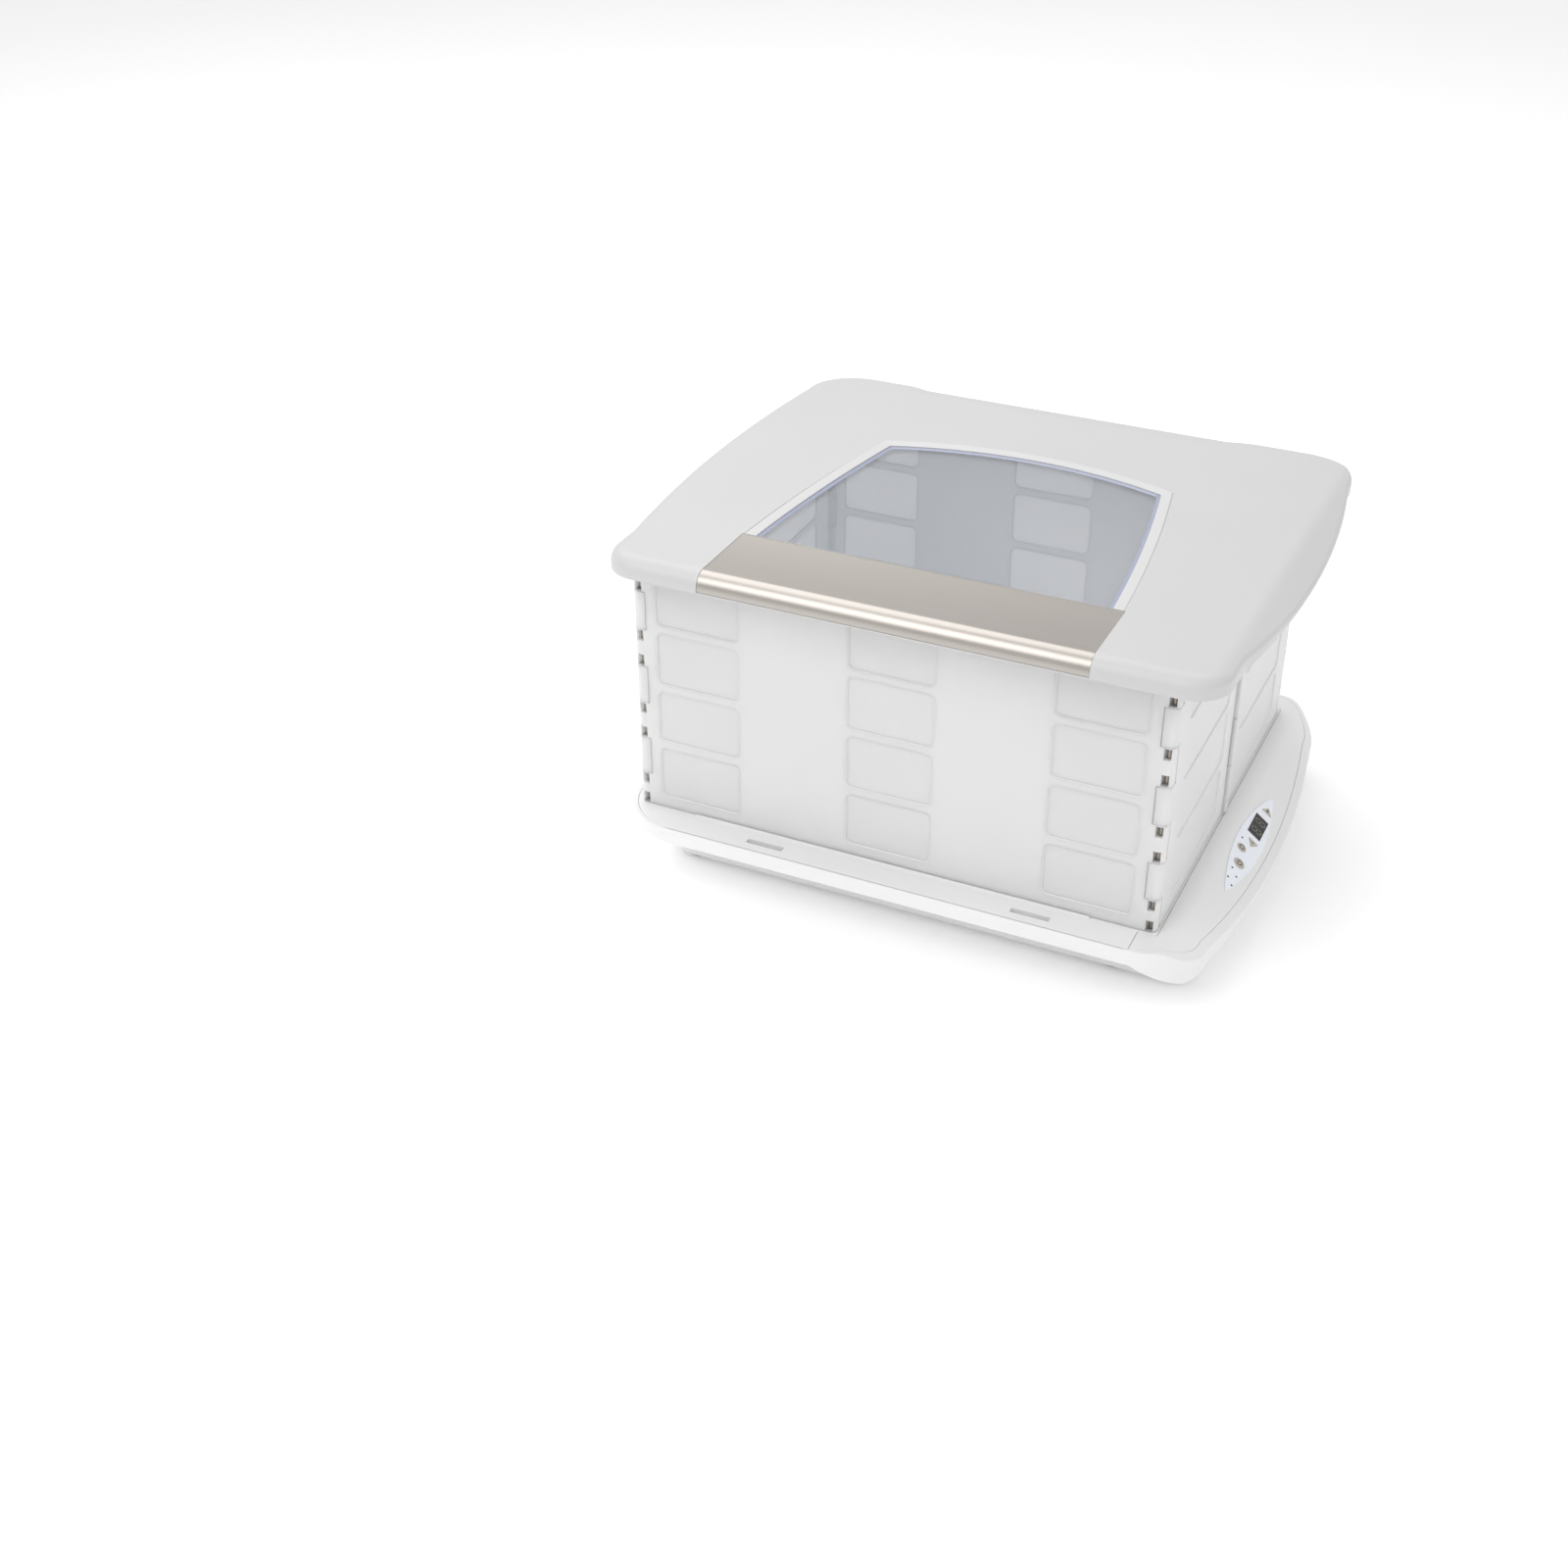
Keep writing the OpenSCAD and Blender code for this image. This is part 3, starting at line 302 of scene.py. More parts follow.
def make_materials(finish):
    """One material for each slot of the record."""
    rough = finish.plastic_roughness
    return {
        "base_plastic": moulded_plastic("base_plastic", finish.base_white, rough),
        "lid_plastic": moulded_plastic("lid_plastic", finish.lid_white, rough),
        # Liner plastic is the lid's white made 8% lighter: painted highlight on the window's bezel, which also
        # lightens the lid's liner
        "liner_plastic": moulded_plastic("liner_plastic", scaled(finish.lid_white, 1.08), rough),
        "wall_plastic": moulded_plastic("wall_plastic", finish.wall_white, rough, 1100.0,
                                        glow=0.8),
        "pin_steel": drawn_wire("pin_steel", (0.34, 0.30, 0.26), 0.25, 0.4),
        "trim_steel": brushed_metal("trim_steel", finish.steel, (0.03, 30, 30), 0.32, 0.42,
                                    contrast=0.04),
        "pane": clear_sheet("pane", (0.80, 0.84, 0.91), 0.02, 0.05, 0.2),
        "gasket": clear_sheet("gasket", (0.42, 0.45, 0.58), 0.12, 0.2, 0.8),
        "rack_wire": drawn_wire("rack_wire", (0.62, 0.58, 0.54)),
        "screw_steel": drawn_wire("screw_steel", (0.55, 0.55, 0.56), 0.2, 0.34),
        "plate": brushed_metal("plate", (0.68, 0.68, 0.70), (0.05, 12, 12), 0.34, 0.46),
        "tray": brushed_metal("tray", (0.76, 0.76, 0.78), (9, 0.06, 9), 0.26, 0.38),
        "element": speckled("element", (0.20, 0.18, 0.17), 0.5, 500.0, 0.25, 1.0),
        "pad": speckled("pad", (0.62, 0.57, 0.42), 0.9, 900.0, 0.2, relief=0.3 * MM),
        "sensor": speckled("sensor", (0.16, 0.05, 0.03), 0.3, 400.0),
        "fuse": speckled("fuse", (0.45, 0.06, 0.04), 0.35, 400.0),
        "wire_sleeve": speckled("wire_sleeve", (0.36, 0.02, 0.015), 0.55, 900.0),
        "board": circuit_board("board"),
        "dark_part": speckled("dark_part", (0.018, 0.018, 0.02), 0.5, 1200.0, 0.2),
        "relay_case": speckled("relay_case", (0.02, 0.06, 0.28), 0.35, 700.0),
        "lens": speckled("lens", (0.018, 0.016, 0.016), 0.12, 300.0, 0.1, relief=0.005 * MM),
        "digits": speckled("digits", (0.20, 0.185, 0.165), 0.4, 900.0, 0.06),
        "overlay": speckled("overlay", (0.88, 0.91, 0.97), 0.28, 1500.0, 0.01, relief=0.01 * MM),
        "keys": speckled("keys", finish.key_tone, 0.38, 1500.0, 0.04, relief=0.02 * MM),
        "contact_brass": drawn_wire("contact_brass", (0.70, 0.50, 0.20)),
        "feet": speckled("feet", (0.34, 0.33, 0.30), 0.8, 1000.0, 0.12, relief=0.08 * MM),
        "legend": speckled("legend", (0.022, 0.020, 0.020), 0.5, 1500.0, 0.1),
    }


MATERIAL = {}


# ---- meshes ----


def new_object(name, data):
    piece = bpy.data.objects.new(name, data)
    bpy.context.scene.collection.objects.link(piece)
    return piece


def mesh_from(bm, name):
    mesh = bpy.data.meshes.new(name)
    bmesh.ops.recalc_face_normals(bm, faces=bm.faces)
    bm.to_mesh(mesh)
    bm.free()
    return mesh


def smooth(piece):
    """Smooth shading on every face."""
    for face in piece.data.polygons:
        face.use_smooth = True


def settle(piece):
    """Turns the piece's modifiers into plain mesh."""
    graph = bpy.context.evaluated_depsgraph_get()
    mesh = bpy.data.meshes.new_from_object(piece.evaluated_get(graph))
    piece.modifiers.clear()
    piece.data = mesh
    return piece


def soften(piece, width, segments=2, sharp=32.0):
    """Rounds sharp edges and keeps flat faces flat in the light."""
    if width > 0:
        bevel = piece.modifiers.new("edges", "BEVEL")
        bevel.width = width
        bevel.segments = segments
        bevel.limit_method = "ANGLE"
        bevel.angle_limit = math.radians(sharp)
        bevel.use_clamp_overlap = False
        bevel.miter_outer = "MITER_ARC"
    smooth(piece)
    if width == 0:
        piece.data.set_sharp_from_angle(angle=math.radians(sharp))
    level = piece.modifiers.new("normals", "WEIGHTED_NORMAL")
    level.mode = "FACE_AREA"
    level.weight = 100
    level.keep_sharp = True
    return settle(piece)


def dress(piece, node, slot=None, stands_for=()):
    """Gives a finished piece its material, body and slot."""
    slot = slot or SLOT_OF[node]
    piece.data.materials.clear()
    piece.data.materials.append(MATERIAL[slot])
    for face in piece.data.polygons:
        face.material_index = 0
    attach(piece, BODY_OF[node])
    if stands_for:
        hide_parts(*stands_for)
    return piece


def merged_copy(node, name):
    """A watertight copy of a CAD node, its flat faces joined."""
    bm = bmesh.new()
    bm.from_mesh(frame["nodes"][node].data)
    bmesh.ops.remove_doubles(bm, verts=bm.verts, dist=WELD)
    bmesh.ops.dissolve_limit(bm, angle_limit=FLAT, verts=bm.verts, edges=bm.edges)
    mesh = bpy.data.meshes.new(name)
    bm.to_mesh(mesh)
    bm.free()
    return new_object(name, mesh)


def moulding(node, width, segments=2, sharp=32.0):
    """A CAD node with softened edges."""
    piece = soften(merged_copy(node, node + "_moulded"), width, segments, sharp)
    return dress(piece, node, stands_for=[node])


def join(parts, name):
    """One mesh from several bmeshes."""
    whole = bmesh.new()
    for part in parts:
        bmesh.ops.recalc_face_normals(part, faces=part.faces)
        mesh = bpy.data.meshes.new("part")
        part.to_mesh(mesh)
        part.free()
        whole.from_mesh(mesh)
        bpy.data.meshes.remove(mesh)
    mesh = bpy.data.meshes.new(name)
    whole.to_mesh(mesh)
    whole.free()
    return mesh


def loft(loops, closed_ring):
    """Quads between loops of equal length; capped, or closed into a ring."""
    bm = bmesh.new()
    rings = [[bm.verts.new(p) for p in loop] for loop in loops]
    count = len(rings[0])
    pairs = list(zip(rings, rings[1:]))
    if closed_ring:
        pairs.append((rings[-1], rings[0]))
    for low, high in pairs:
        for k in range(count):
            bm.faces.new((low[k], low[(k + 1) % count], high[(k + 1) % count], high[k]))
    if not closed_ring:
        bm.faces.new(rings[0])
        bm.faces.new(rings[-1])
    return bm


# ---- node trees for what repeats ----


class Tree:
    """A small builder for geometry node trees."""

    def __init__(self, name, inputs):
        self.group = bpy.data.node_groups.new(name, "GeometryNodeTree")
        interface = self.group.interface
        interface.new_socket("Geometry", in_out="INPUT", socket_type="NodeSocketGeometry")
        interface.new_socket("Geometry", in_out="OUTPUT", socket_type="NodeSocketGeometry")
        self.identifier = {}
        for label, kind in inputs:
            made = interface.new_socket(label, in_out="INPUT", socket_type="NodeSocket" + kind)
            self.identifier[label] = made.identifier
        self.source = self.group.nodes.new("NodeGroupInput")
        self.sink = self.group.nodes.new("NodeGroupOutput")

    def node(self, kind, links=None, **settings):
        """Adds a node; links maps an input to a value or an output socket."""
        made = self.group.nodes.new(kind)
        for key, value in settings.items():
            setattr(made, key, value)
        for key, value in (links or {}).items():
            if isinstance(value, bpy.types.NodeSocket):
                self.group.links.new(value, made.inputs[key])
            else:
                made.inputs[key].default_value = value
        return made

    def given(self, label):
        return self.source.outputs[label]

    def vector(self, x=0.0, y=0.0, z=0.0):
        return self.node("ShaderNodeCombineXYZ", {"X": x, "Y": y, "Z": z}).outputs[0]

    def times(self, value, factor):
        return self.node("ShaderNodeMath", {0: value, 1: factor}, operation="MULTIPLY").outputs[0]

    def moved(self, shape, place):
        return self.node("GeometryNodeTransform",
                         {"Geometry": shape.outputs[0], "Translation": place}).outputs[0]

    def tube(self, line, capped):
        """A round tube along a curve, sized by the inputs Sides and Radius."""
        ring = self.node("GeometryNodeCurvePrimitiveCircle",
                         {"Resolution": self.given("Sides"), "Radius": self.given("Radius")})
        return self.node("GeometryNodeCurveToMesh",
                         {"Curve": line.outputs[0], "Profile Curve": ring.outputs[0],
                          "Fill Caps": capped})

    def finish(self, shape, scale=(1, 1, 1)):
        """Ends the tree with the shape at each point, as real mesh with its material."""
        spread = self.node("GeometryNodeInstanceOnPoints",
                           {"Points": self.given("Geometry"), "Instance": shape.outputs[0],
                            "Scale": scale})
        real = self.node("GeometryNodeRealizeInstances", {"Geometry": spread.outputs[0]})
        coat = self.node("GeometryNodeSetMaterial",
                         {"Geometry": real.outputs[0], "Material": self.given("Material")})
        self.group.links.new(coat.outputs[0], self.sink.inputs[0])
        return self

    def grow(self, piece, **values):
        """Runs the tree on a piece and keeps the plain mesh."""
        modifier = piece.modifiers.new(self.group.name, "NODES")
        modifier.node_group = self.group
        for label, value in values.items():
            modifier[self.identifier[label]] = value
        return settle(piece)


def points_object(name, points):
    mesh = bpy.data.meshes.new(name)
    mesh.from_pydata([tuple(p) for p in points], [], [])
    return new_object(name, mesh)


def wire_tree():
    """Straight wires with rounded ends, one at each point."""
    tree = Tree("wires", [("Reach", "Vector"), ("Radius", "Float"), ("Sides", "Int"),
                          ("Material", "Material")])
    back = tree.node("ShaderNodeVectorMath", {0: tree.given("Reach"), 1: (-1, -1, -1)},
                     operation="MULTIPLY").outputs[0]
    line = tree.node("GeometryNodeCurvePrimitiveLine", {"Start": back, "End": tree.given("Reach")})
    return tree.finish(tree.tube(line, True))


def rim_tree():
    """A closed wire rectangle with round corners."""
    tree = Tree("wire_rim", [("Width", "Float"), ("Depth", "Float"), ("Corner", "Float"),
                             ("Radius", "Float"), ("Sides", "Int"), ("Material", "Material")])
    line = tree.node("GeometryNodeCurvePrimitiveQuadrilateral",
                     {"Width": tree.given("Width"), "Height": tree.given("Depth")})
    bent = tree.node("GeometryNodeFilletCurve",
                     {"Curve": line.outputs[0], "Radius": tree.given("Corner"),
                      "Count": 10, "Limit Radius": True}, mode="POLY")
    return tree.finish(tree.tube(bent, False))


def bead_tree():
    """Small flattened weld beads, one at each point."""
    tree = Tree("weld_beads", [("Radius", "Float"), ("Material", "Material")])
    bead = tree.node("GeometryNodeMeshIcoSphere",
                     {"Radius": tree.given("Radius"), "Subdivisions": 2})
    return tree.finish(bead, (1, 1, 0.8))


def screw_tree():
    """Pan heads with a cross recess and a plain shank, heads down."""
    tree = Tree("cross_screws", [("Head", "Float"), ("Rise", "Float"), ("Shank", "Float"),
                                 ("Length", "Float"), ("Recess", "Float"),
                                 ("Material", "Material")])
    half_rise = tree.times(tree.given("Rise"), 0.5)
    half_long = tree.times(tree.given("Length"), 0.5)
    head = tree.node("GeometryNodeMeshCone",
                     {"Vertices": 24, "Radius Top": tree.given("Head"),
                      "Radius Bottom": tree.times(tree.given("Head"), 0.82),
                      "Depth": tree.given("Rise")})
    slot_long = tree.times(tree.given("Head"), 1.1)
    cross = tree.node("GeometryNodeJoinGeometry")
    for x, y in ((slot_long, tree.given("Recess")), (tree.given("Recess"), slot_long)):
        bar = tree.node("GeometryNodeMeshCube", {"Size": tree.vector(x, y, tree.given("Rise"))})
        tree.group.links.new(bar.outputs[0], cross.inputs[0])
    sunk = tree.moved(cross, tree.vector(z=tree.times(half_rise, -0.9)))
    cut = tree.node("GeometryNodeMeshBoolean", operation="DIFFERENCE")
    tree.group.links.new(head.outputs[0], cut.inputs[0])
    tree.group.links.new(sunk, cut.inputs[1])
    shank = tree.node("GeometryNodeMeshCylinder",
                      {"Vertices": 16, "Radius": tree.given("Shank"),
                       "Depth": tree.given("Length")})
    whole = tree.node("GeometryNodeJoinGeometry")
    for part, rise in ((cut, half_rise), (shank, half_long)):
        tree.group.links.new(tree.moved(part, tree.vector(z=rise)), whole.inputs[0])
    return tree.finish(whole)


# ---- places read from the frame ----


def solids_of(node):
    """Boxes of a node's separate solids, as (low, high) corners."""
    bm = bmesh.new()
    bm.from_mesh(frame["nodes"][node].data)
    bmesh.ops.remove_doubles(bm, verts=bm.verts, dist=WELD)
    left = set(bm.verts)
    found = []
    while left:
        stack = [left.pop()]
        group = list(stack)
        while stack:
            for edge in stack.pop().link_edges:
                for vert in edge.verts:
                    if vert in left:
                        left.discard(vert)
                        stack.append(vert)
                        group.append(vert)
        low = Vector(min(v.co[i] for v in group) for i in range(3))
        high = Vector(max(v.co[i] for v in group) for i in range(3))
        found.append((low, high))
    bm.free()
    return found


def panel_matrix():
    """The control panel's frame: X down the slope, Y to the back, Z out of the panel."""
    out = -Vector(JOINT["power_press"]["axis"]).normalized()
    along = Vector((0, 1, 0))
    down = along.cross(out)
    low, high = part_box("keypad_overlay")
    middle = (low + high) / 2
    thickness = 0.5 * MM
    origin = Vector((middle.x, 0, middle.z)) - out * thickness / 2
    return Matrix.Translation(origin) @ Matrix((down, along, out)).transposed().to_4x4()


def on_panel(node):
    """A node's place on the control panel, as (down, along)."""
    low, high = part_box(node)
    local = panel_matrix().inverted() @ ((low + high) / 2)
    return local.x, local.y


# ---- lid ----

BOW_END = 48.9 * MM
CORNER_STEPS = 12
BOW_STEPS = 40
EDGE_STEPS = 30
NOSE_STEPS = 8
LID_SKIN = 2.6 * MM
LID_HEM = 24.5 * MM
LEFT_EDGE = 9 * MM
RIGHT_EDGE = 2.2 * MM
WING_BLEND = 0.012
FALL_LENGTH = 50 * MM
SCOOP_LENGTH = 27 * MM
SCOOP_RUN_OUT = 14 * MM
TRIM_NOSE = 11 * MM
TRIM_SEAT = 1.2 * MM
TRIM_GAP = 0.15 * MM
STEP_DEPTH = 1.4 * MM
CUT_PAST = 5 * MM


def bowed_outline(low, high, corner, back_corner, bow_left, bow_right):
    """Points and outward normals round the lid: straight front and back, bowed sides."""
    half_y = (high.y - low.y) / 2
    bow_y = half_y - BOW_END
    sag_left = bow_left - math.sqrt(bow_left ** 2 - bow_y ** 2)
    sag_right = bow_right - math.sqrt(bow_right ** 2 - bow_y ** 2)
    xa, xb = low.x + sag_left, high.x - sag_right
    points = []

    def corner_arc(x_edge, sign_x, sign_y, radius, start):
        cx, cy = x_edge - sign_x * radius, sign_y * (half_y - radius)
        for k in range(CORNER_STEPS + 1):
            t = math.radians(start + 90 * k / CORNER_STEPS)
            points.append((cx + radius * math.cos(t), cy + radius * math.sin(t),
                           math.cos(t), math.sin(t)))

    def bow(x_edge, radius, sign):
        for k in range(BOW_STEPS + 1):
            y = sign * (-bow_y + 2 * bow_y * k / BOW_STEPS)
            lean = math.asin(y / radius)
            x = x_edge - sign * (radius - radius * math.cos(lean))
            points.append((x, y, sign * math.cos(lean), math.sin(lean)))

    def straight(x0, x1, y, ny):
        for k in range(1, EDGE_STEPS):
            points.append((x0 + (x1 - x0) * k / EDGE_STEPS, y, 0, ny))

    straight(xa + corner, xb - corner, -half_y, -1)
    corner_arc(xb, 1, -1, corner, -90)
    bow(high.x, bow_right, 1)
    corner_arc(xb, 1, 1, back_corner, 0)
    straight(xb - back_corner, xa + back_corner, half_y, 1)
    corner_arc(xa, -1, 1, back_corner, 90)
    bow(low.x, bow_left, -1)
    corner_arc(xa, -1, -1, corner, 180)
    return points


class Window:
    """The window's outline: straight front, bowed sides and back."""

    SILL = 1.6 * MM
    HALF_FRONT = 127 * MM
    HALF_BACK = 104 * MM
    SIDE = 182 * MM
    SIDE_RISE = 3 * MM
    BACK_RISE = 19 * MM

    def __init__(self):
        low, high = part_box("window_frame")
        self.x = (low.x + high.x) / 2
        self.front = low.y + self.SILL
        taper = self.HALF_FRONT - self.HALF_BACK
        chord = math.hypot(self.SIDE, taper)
        self.side_r = (chord ** 2 / 4 + self.SIDE_RISE ** 2) / (2 * self.SIDE_RISE)
        across, back = self.SIDE / chord, taper / chord
        reach = self.side_r - self.SIDE_RISE
        self.side_cx = (self.HALF_FRONT + self.HALF_BACK) / 2 - reach * across
        self.side_cy = self.front + self.SIDE / 2 - reach * back
        self.back_r = (self.HALF_BACK ** 2 + self.BACK_RISE ** 2) / (2 * self.BACK_RISE)
        self.back_cy = self.front + self.SIDE + self.BACK_RISE - self.back_r

    def corner(self, grow):
        """Where the right side meets the back, relative to the window's middle."""
        r1, r2 = self.side_r + grow, self.back_r + grow
        c1, c2 = Vector((self.side_cx, self.side_cy)), Vector((0, self.back_cy))
        gap = c2 - c1
        d = gap.length
        a = (r1 ** 2 - r2 ** 2 + d ** 2) / (2 * d)
        h = math.sqrt(max(r1 ** 2 - a ** 2, 0))
        unit = gap / d
        middle = c1 + unit * a
        side = Vector((unit.y, -unit.x)) * h
        return max((middle + side, middle - side), key=lambda p: p.x)

    def outline(self, grow, z, front_grow=None):
        """A closed loop, counter-clockwise, grown outwards."""
        front = self.front - min(grow if front_grow is None else front_grow, self.SILL)
        top = self.corner(grow)
        r1, r2 = self.side_r + grow, self.back_r + grow
        a0 = math.asin((front - self.side_cy) / r1)
        a1 = math.asin((top.y - self.side_cy) / r1)
        right = []
        for k in range(33):
            t = a0 + (a1 - a0) * k / 32
            right.append((self.side_cx + r1 * math.cos(t), self.side_cy + r1 * math.sin(t)))
        b0 = math.asin(top.x / r2)
        back = []
        for k in range(1, 48):
            t = b0 - 2 * b0 * k / 48
            back.append((r2 * math.sin(t), self.back_cy + r2 * math.cos(t)))
        left = [(-x, y) for x, y in reversed(right)]
        first, last = left[-1][0], right[0][0]
        sill = [(first + (last - first) * k / 24, front) for k in range(1, 24)]
        return [(self.x + x, y, z) for x, y in right + back + left + sill]


def lid_surface(shape, low, high):
    """Returns a function giving the lid's top height at (x, y)."""
    ridge = high.x - shape.wing_width
    trim_low, trim_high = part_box("handle_trim")

    def ease(t):
        t = max(0.0, min(1.0, t))
        return t * t * (3 - 2 * t)

    def height(x, y):
        t = (x - ridge) / shape.wing_width
        wing = shape.wing_drop * (t + math.sqrt(t * t + WING_BLEND)) / 2
        inside = ease((x - trim_low.x) / SCOOP_RUN_OUT) * ease((trim_high.x - x) / SCOOP_RUN_OUT)
        t = max(0.0, (y - high.y + FALL_LENGTH) / FALL_LENGTH)
        fall = shape.back_fall * t ** 1.5
        t = max(0.0, (y - high.y + SCOOP_LENGTH) / SCOOP_LENGTH)
        return high.z - wing - fall - shape.scoop_depth * inside * t ** 1.5

    return height


def lid_body(shape):
    """The lid shell as a closed thick shell before its cuts."""
    low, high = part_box("lid_shell")
    outline = bowed_outline(low, high, shape.lid_corner, shape.lid_back_corner, shape.bow_left,
                            shape.bow_right)
    height = lid_surface(shape, low, high)

    def radius(nx, ny):
        side = LEFT_EDGE if nx < 0 else RIGHT_EDGE
        return shape.nose_radius * ny * ny + side * nx * nx

    def ring(inset_of, drop_of, level=None):
        loop = []
        for x, y, nx, ny in outline:
            inset = inset_of(radius(nx, ny))
            px, py = x - nx * inset, y - ny * inset
            z = height(px, py) - drop_of(radius(nx, ny)) if level is None else level
            loop.append((px, py, z))
        return loop

    turns = [math.radians(90 * k / NOSE_STEPS) for k in range(NOSE_STEPS + 1)]
    outer = [ring(lambda r: 0, None, low.z)]
    for t in turns:
        outer.append(ring(lambda r: r * (1 - math.cos(t)), lambda r: r * (1 - math.sin(t))))
    for k in range(1, 9):
        outer.append(ring(lambda r: r + (LID_HEM - r) * k / 8, lambda r: 0))
    inner = [ring(lambda r: LID_SKIN, None, low.z)]

    def inside(r):
        return max(r - LID_SKIN, 0.3 * MM)

    for t in turns:
        inner.append(ring(lambda r: LID_SKIN + inside(r) * (1 - math.cos(t)),
                          lambda r: LID_SKIN + inside(r) * (1 - math.sin(t))))
    for k in range(1, 5):
        inner.append(ring(
            lambda r: LID_SKIN + inside(r) + (LID_HEM - LID_SKIN - inside(r)) * k / 4,
            lambda r: LID_SKIN))
    return loft(list(reversed(outer)) + inner, closed_ring=False)


def cutter(name, bm):
    """An object that shapes another and is then removed."""
    return new_object(name, mesh_from(bm, name))


def trim_recess_profile():
    """Y-Z outline of what is cut away to seat the trim on the lid's nose."""
    low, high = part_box("handle_trim")
    lid_low, lid_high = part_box("lid_shell")
    cy, cz = lid_low.y + TRIM_NOSE, lid_high.z - TRIM_NOSE
    radius = TRIM_NOSE - TRIM_SEAT
    turns = [math.radians(90 + 90 * k / CORNER_STEPS) for k in range(CORNER_STEPS + 1)]
    arc = [(cy + radius * math.cos(t), cz + radius * math.sin(t)) for t in turns]
    back = high.y + TRIM_GAP
    foot = low.z - TRIM_GAP
    far_y, far_z = lid_low.y - 20 * MM, lid_high.z + 20 * MM
    return [(back, far_z), (back, lid_high.z - TRIM_SEAT), *arc, (cy - radius, foot),
            (far_y, foot), (far_y, far_z)]


def prism_along_x(profile, x0, x1):
    return loft([[(x, y, z) for y, z in profile] for x in (x0, x1)], closed_ring=False)


class PROOFER_OT_lid(bpy.types.Operator):
    """Builds the lid's shell, liner and latches"""

    bl_idname = "proofer.lid"
    bl_label = "Lid"

    def execute(self, context):
        shape = context.scene.proofer_shape
        low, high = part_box("lid_shell")
        window = Window()
        shell = new_object("lid_shell_moulded", mesh_from(lid_body(shape), "lid_shell_moulded"))
        hole = loft([window.outline(1 * MM, low.z - CUT_PAST, 1 * MM),
                     window.outline(1 * MM, high.z + CUT_PAST, 1 * MM)], False)
        step = loft([window.outline(9 * MM, high.z - STEP_DEPTH),
                     window.outline(9 * MM, high.z + CUT_PAST)], False)
        trim_low, trim_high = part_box("handle_trim")
        recess = prism_along_x(trim_recess_profile(), trim_low.x - TRIM_GAP,
                               trim_high.x + TRIM_GAP)
        cutters = [cutter("window_hole", hole), cutter("window_step", step),
                   cutter("trim_recess", recess)]
        for tool in cutters:
            cut = shell.modifiers.new(tool.name, "BOOLEAN")
            cut.operation = "DIFFERENCE"
            cut.solver = "EXACT"
            cut.object = tool
        settle(shell)
        for tool in cutters:
            bpy.data.objects.remove(tool)
        soften(shell, 0, sharp=40)
        dress(shell, "lid_shell", stands_for=["lid_shell"])
        moulding("lid_liner", 0.3 * MM)
        moulding("lid_latches", 0.4 * MM)
        return {"FINISHED"}


class PROOFER_OT_window(bpy.types.Operator):
    """Builds the window's frame, pane and gasket"""

    bl_idname = "proofer.window"
    bl_label = "Window"

    def execute(self, context):
        window = Window()
        low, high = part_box("window_frame")
        lid_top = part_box("lid_shell")[1].z
        # The frame takes the lighter liner plastic: painted highlight on the bezel
        self.ring(window, "window_frame", "moulded", (
            (8.8, low.z), (8.8, lid_top - 0.25 * MM), (8.4, lid_top - 0.05 * MM),
            (7.8, lid_top - 0.05 * MM), (1.6, high.z - 0.3 * MM), (1.05, high.z - 0.5 * MM),
            (1.0, low.z)), True, "liner_plastic")
        low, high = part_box("window_gasket")
        self.ring(window, "window_gasket", "ring", (
            (0.9, low.z), (0.9, high.z), (0.5, high.z), (-1.8, low.z + 0.25 * MM),
            (-2.0, low.z)), True)
        low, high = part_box("window_pane")
        self.ring(window, "window_pane", "sheet", (
            (5.2, low.z), (6.0, low.z + 0.6 * MM), (6.0, high.z - 0.6 * MM),
            (5.2, high.z)), False)
        return {"FINISHED"}

    @staticmethod
    def ring(window, node, kind, section, hollow, slot=None):
        """A piece on the window's outline; section gives its growth in millimetres and height."""
        loops = [window.outline(grow * MM, z) for grow, z in section]
        name = f"{node}_{kind}"
        piece = new_object(name, mesh_from(loft(loops, closed_ring=hollow), name))
        dress(soften(piece, 0), node, slot=slot, stands_for=[node])


class PROOFER_OT_trim(bpy.types.Operator):
    """Builds the brushed steel trim on the lid's nose"""

    bl_idname = "proofer.trim"
    bl_label = "Steel trim"

    def execute(self, context):
        moulding("handle_trim", 0.15 * MM, 2, 40)
        return {"FINISHED"}


# ---- walls ----

WALLS = ("front_wall", "back_wall", "right_front_leaf", "right_rear_leaf",
         "left_front_leaf", "left_rear_leaf")
WALL_T = 4.6 * MM
POCKET_ROWS = 4
POCKET_HEIGHT = 41 * MM
POCKET_CORNER = 5 * MM
FIRST_POCKET = 9.6 * MM
PLAIN_EDGES = 15.2 * MM
COLUMN_MARGIN = 18 * MM
LEAF_MIDDLE = 78.35 * MM
BEAD_DEPTH = 0.8 * MM

# Upright planes for beads drawn flat: (along X, up, depth) and (along Y, up, depth)
STAND_LONG = Matrix(((1, 0, 0), (0, 0, -1), (0, 1, 0))).to_4x4()
STAND_SIDE = Matrix(((0, 0, 1), (1, 0, 0), (0, 1, 0))).to_4x4()


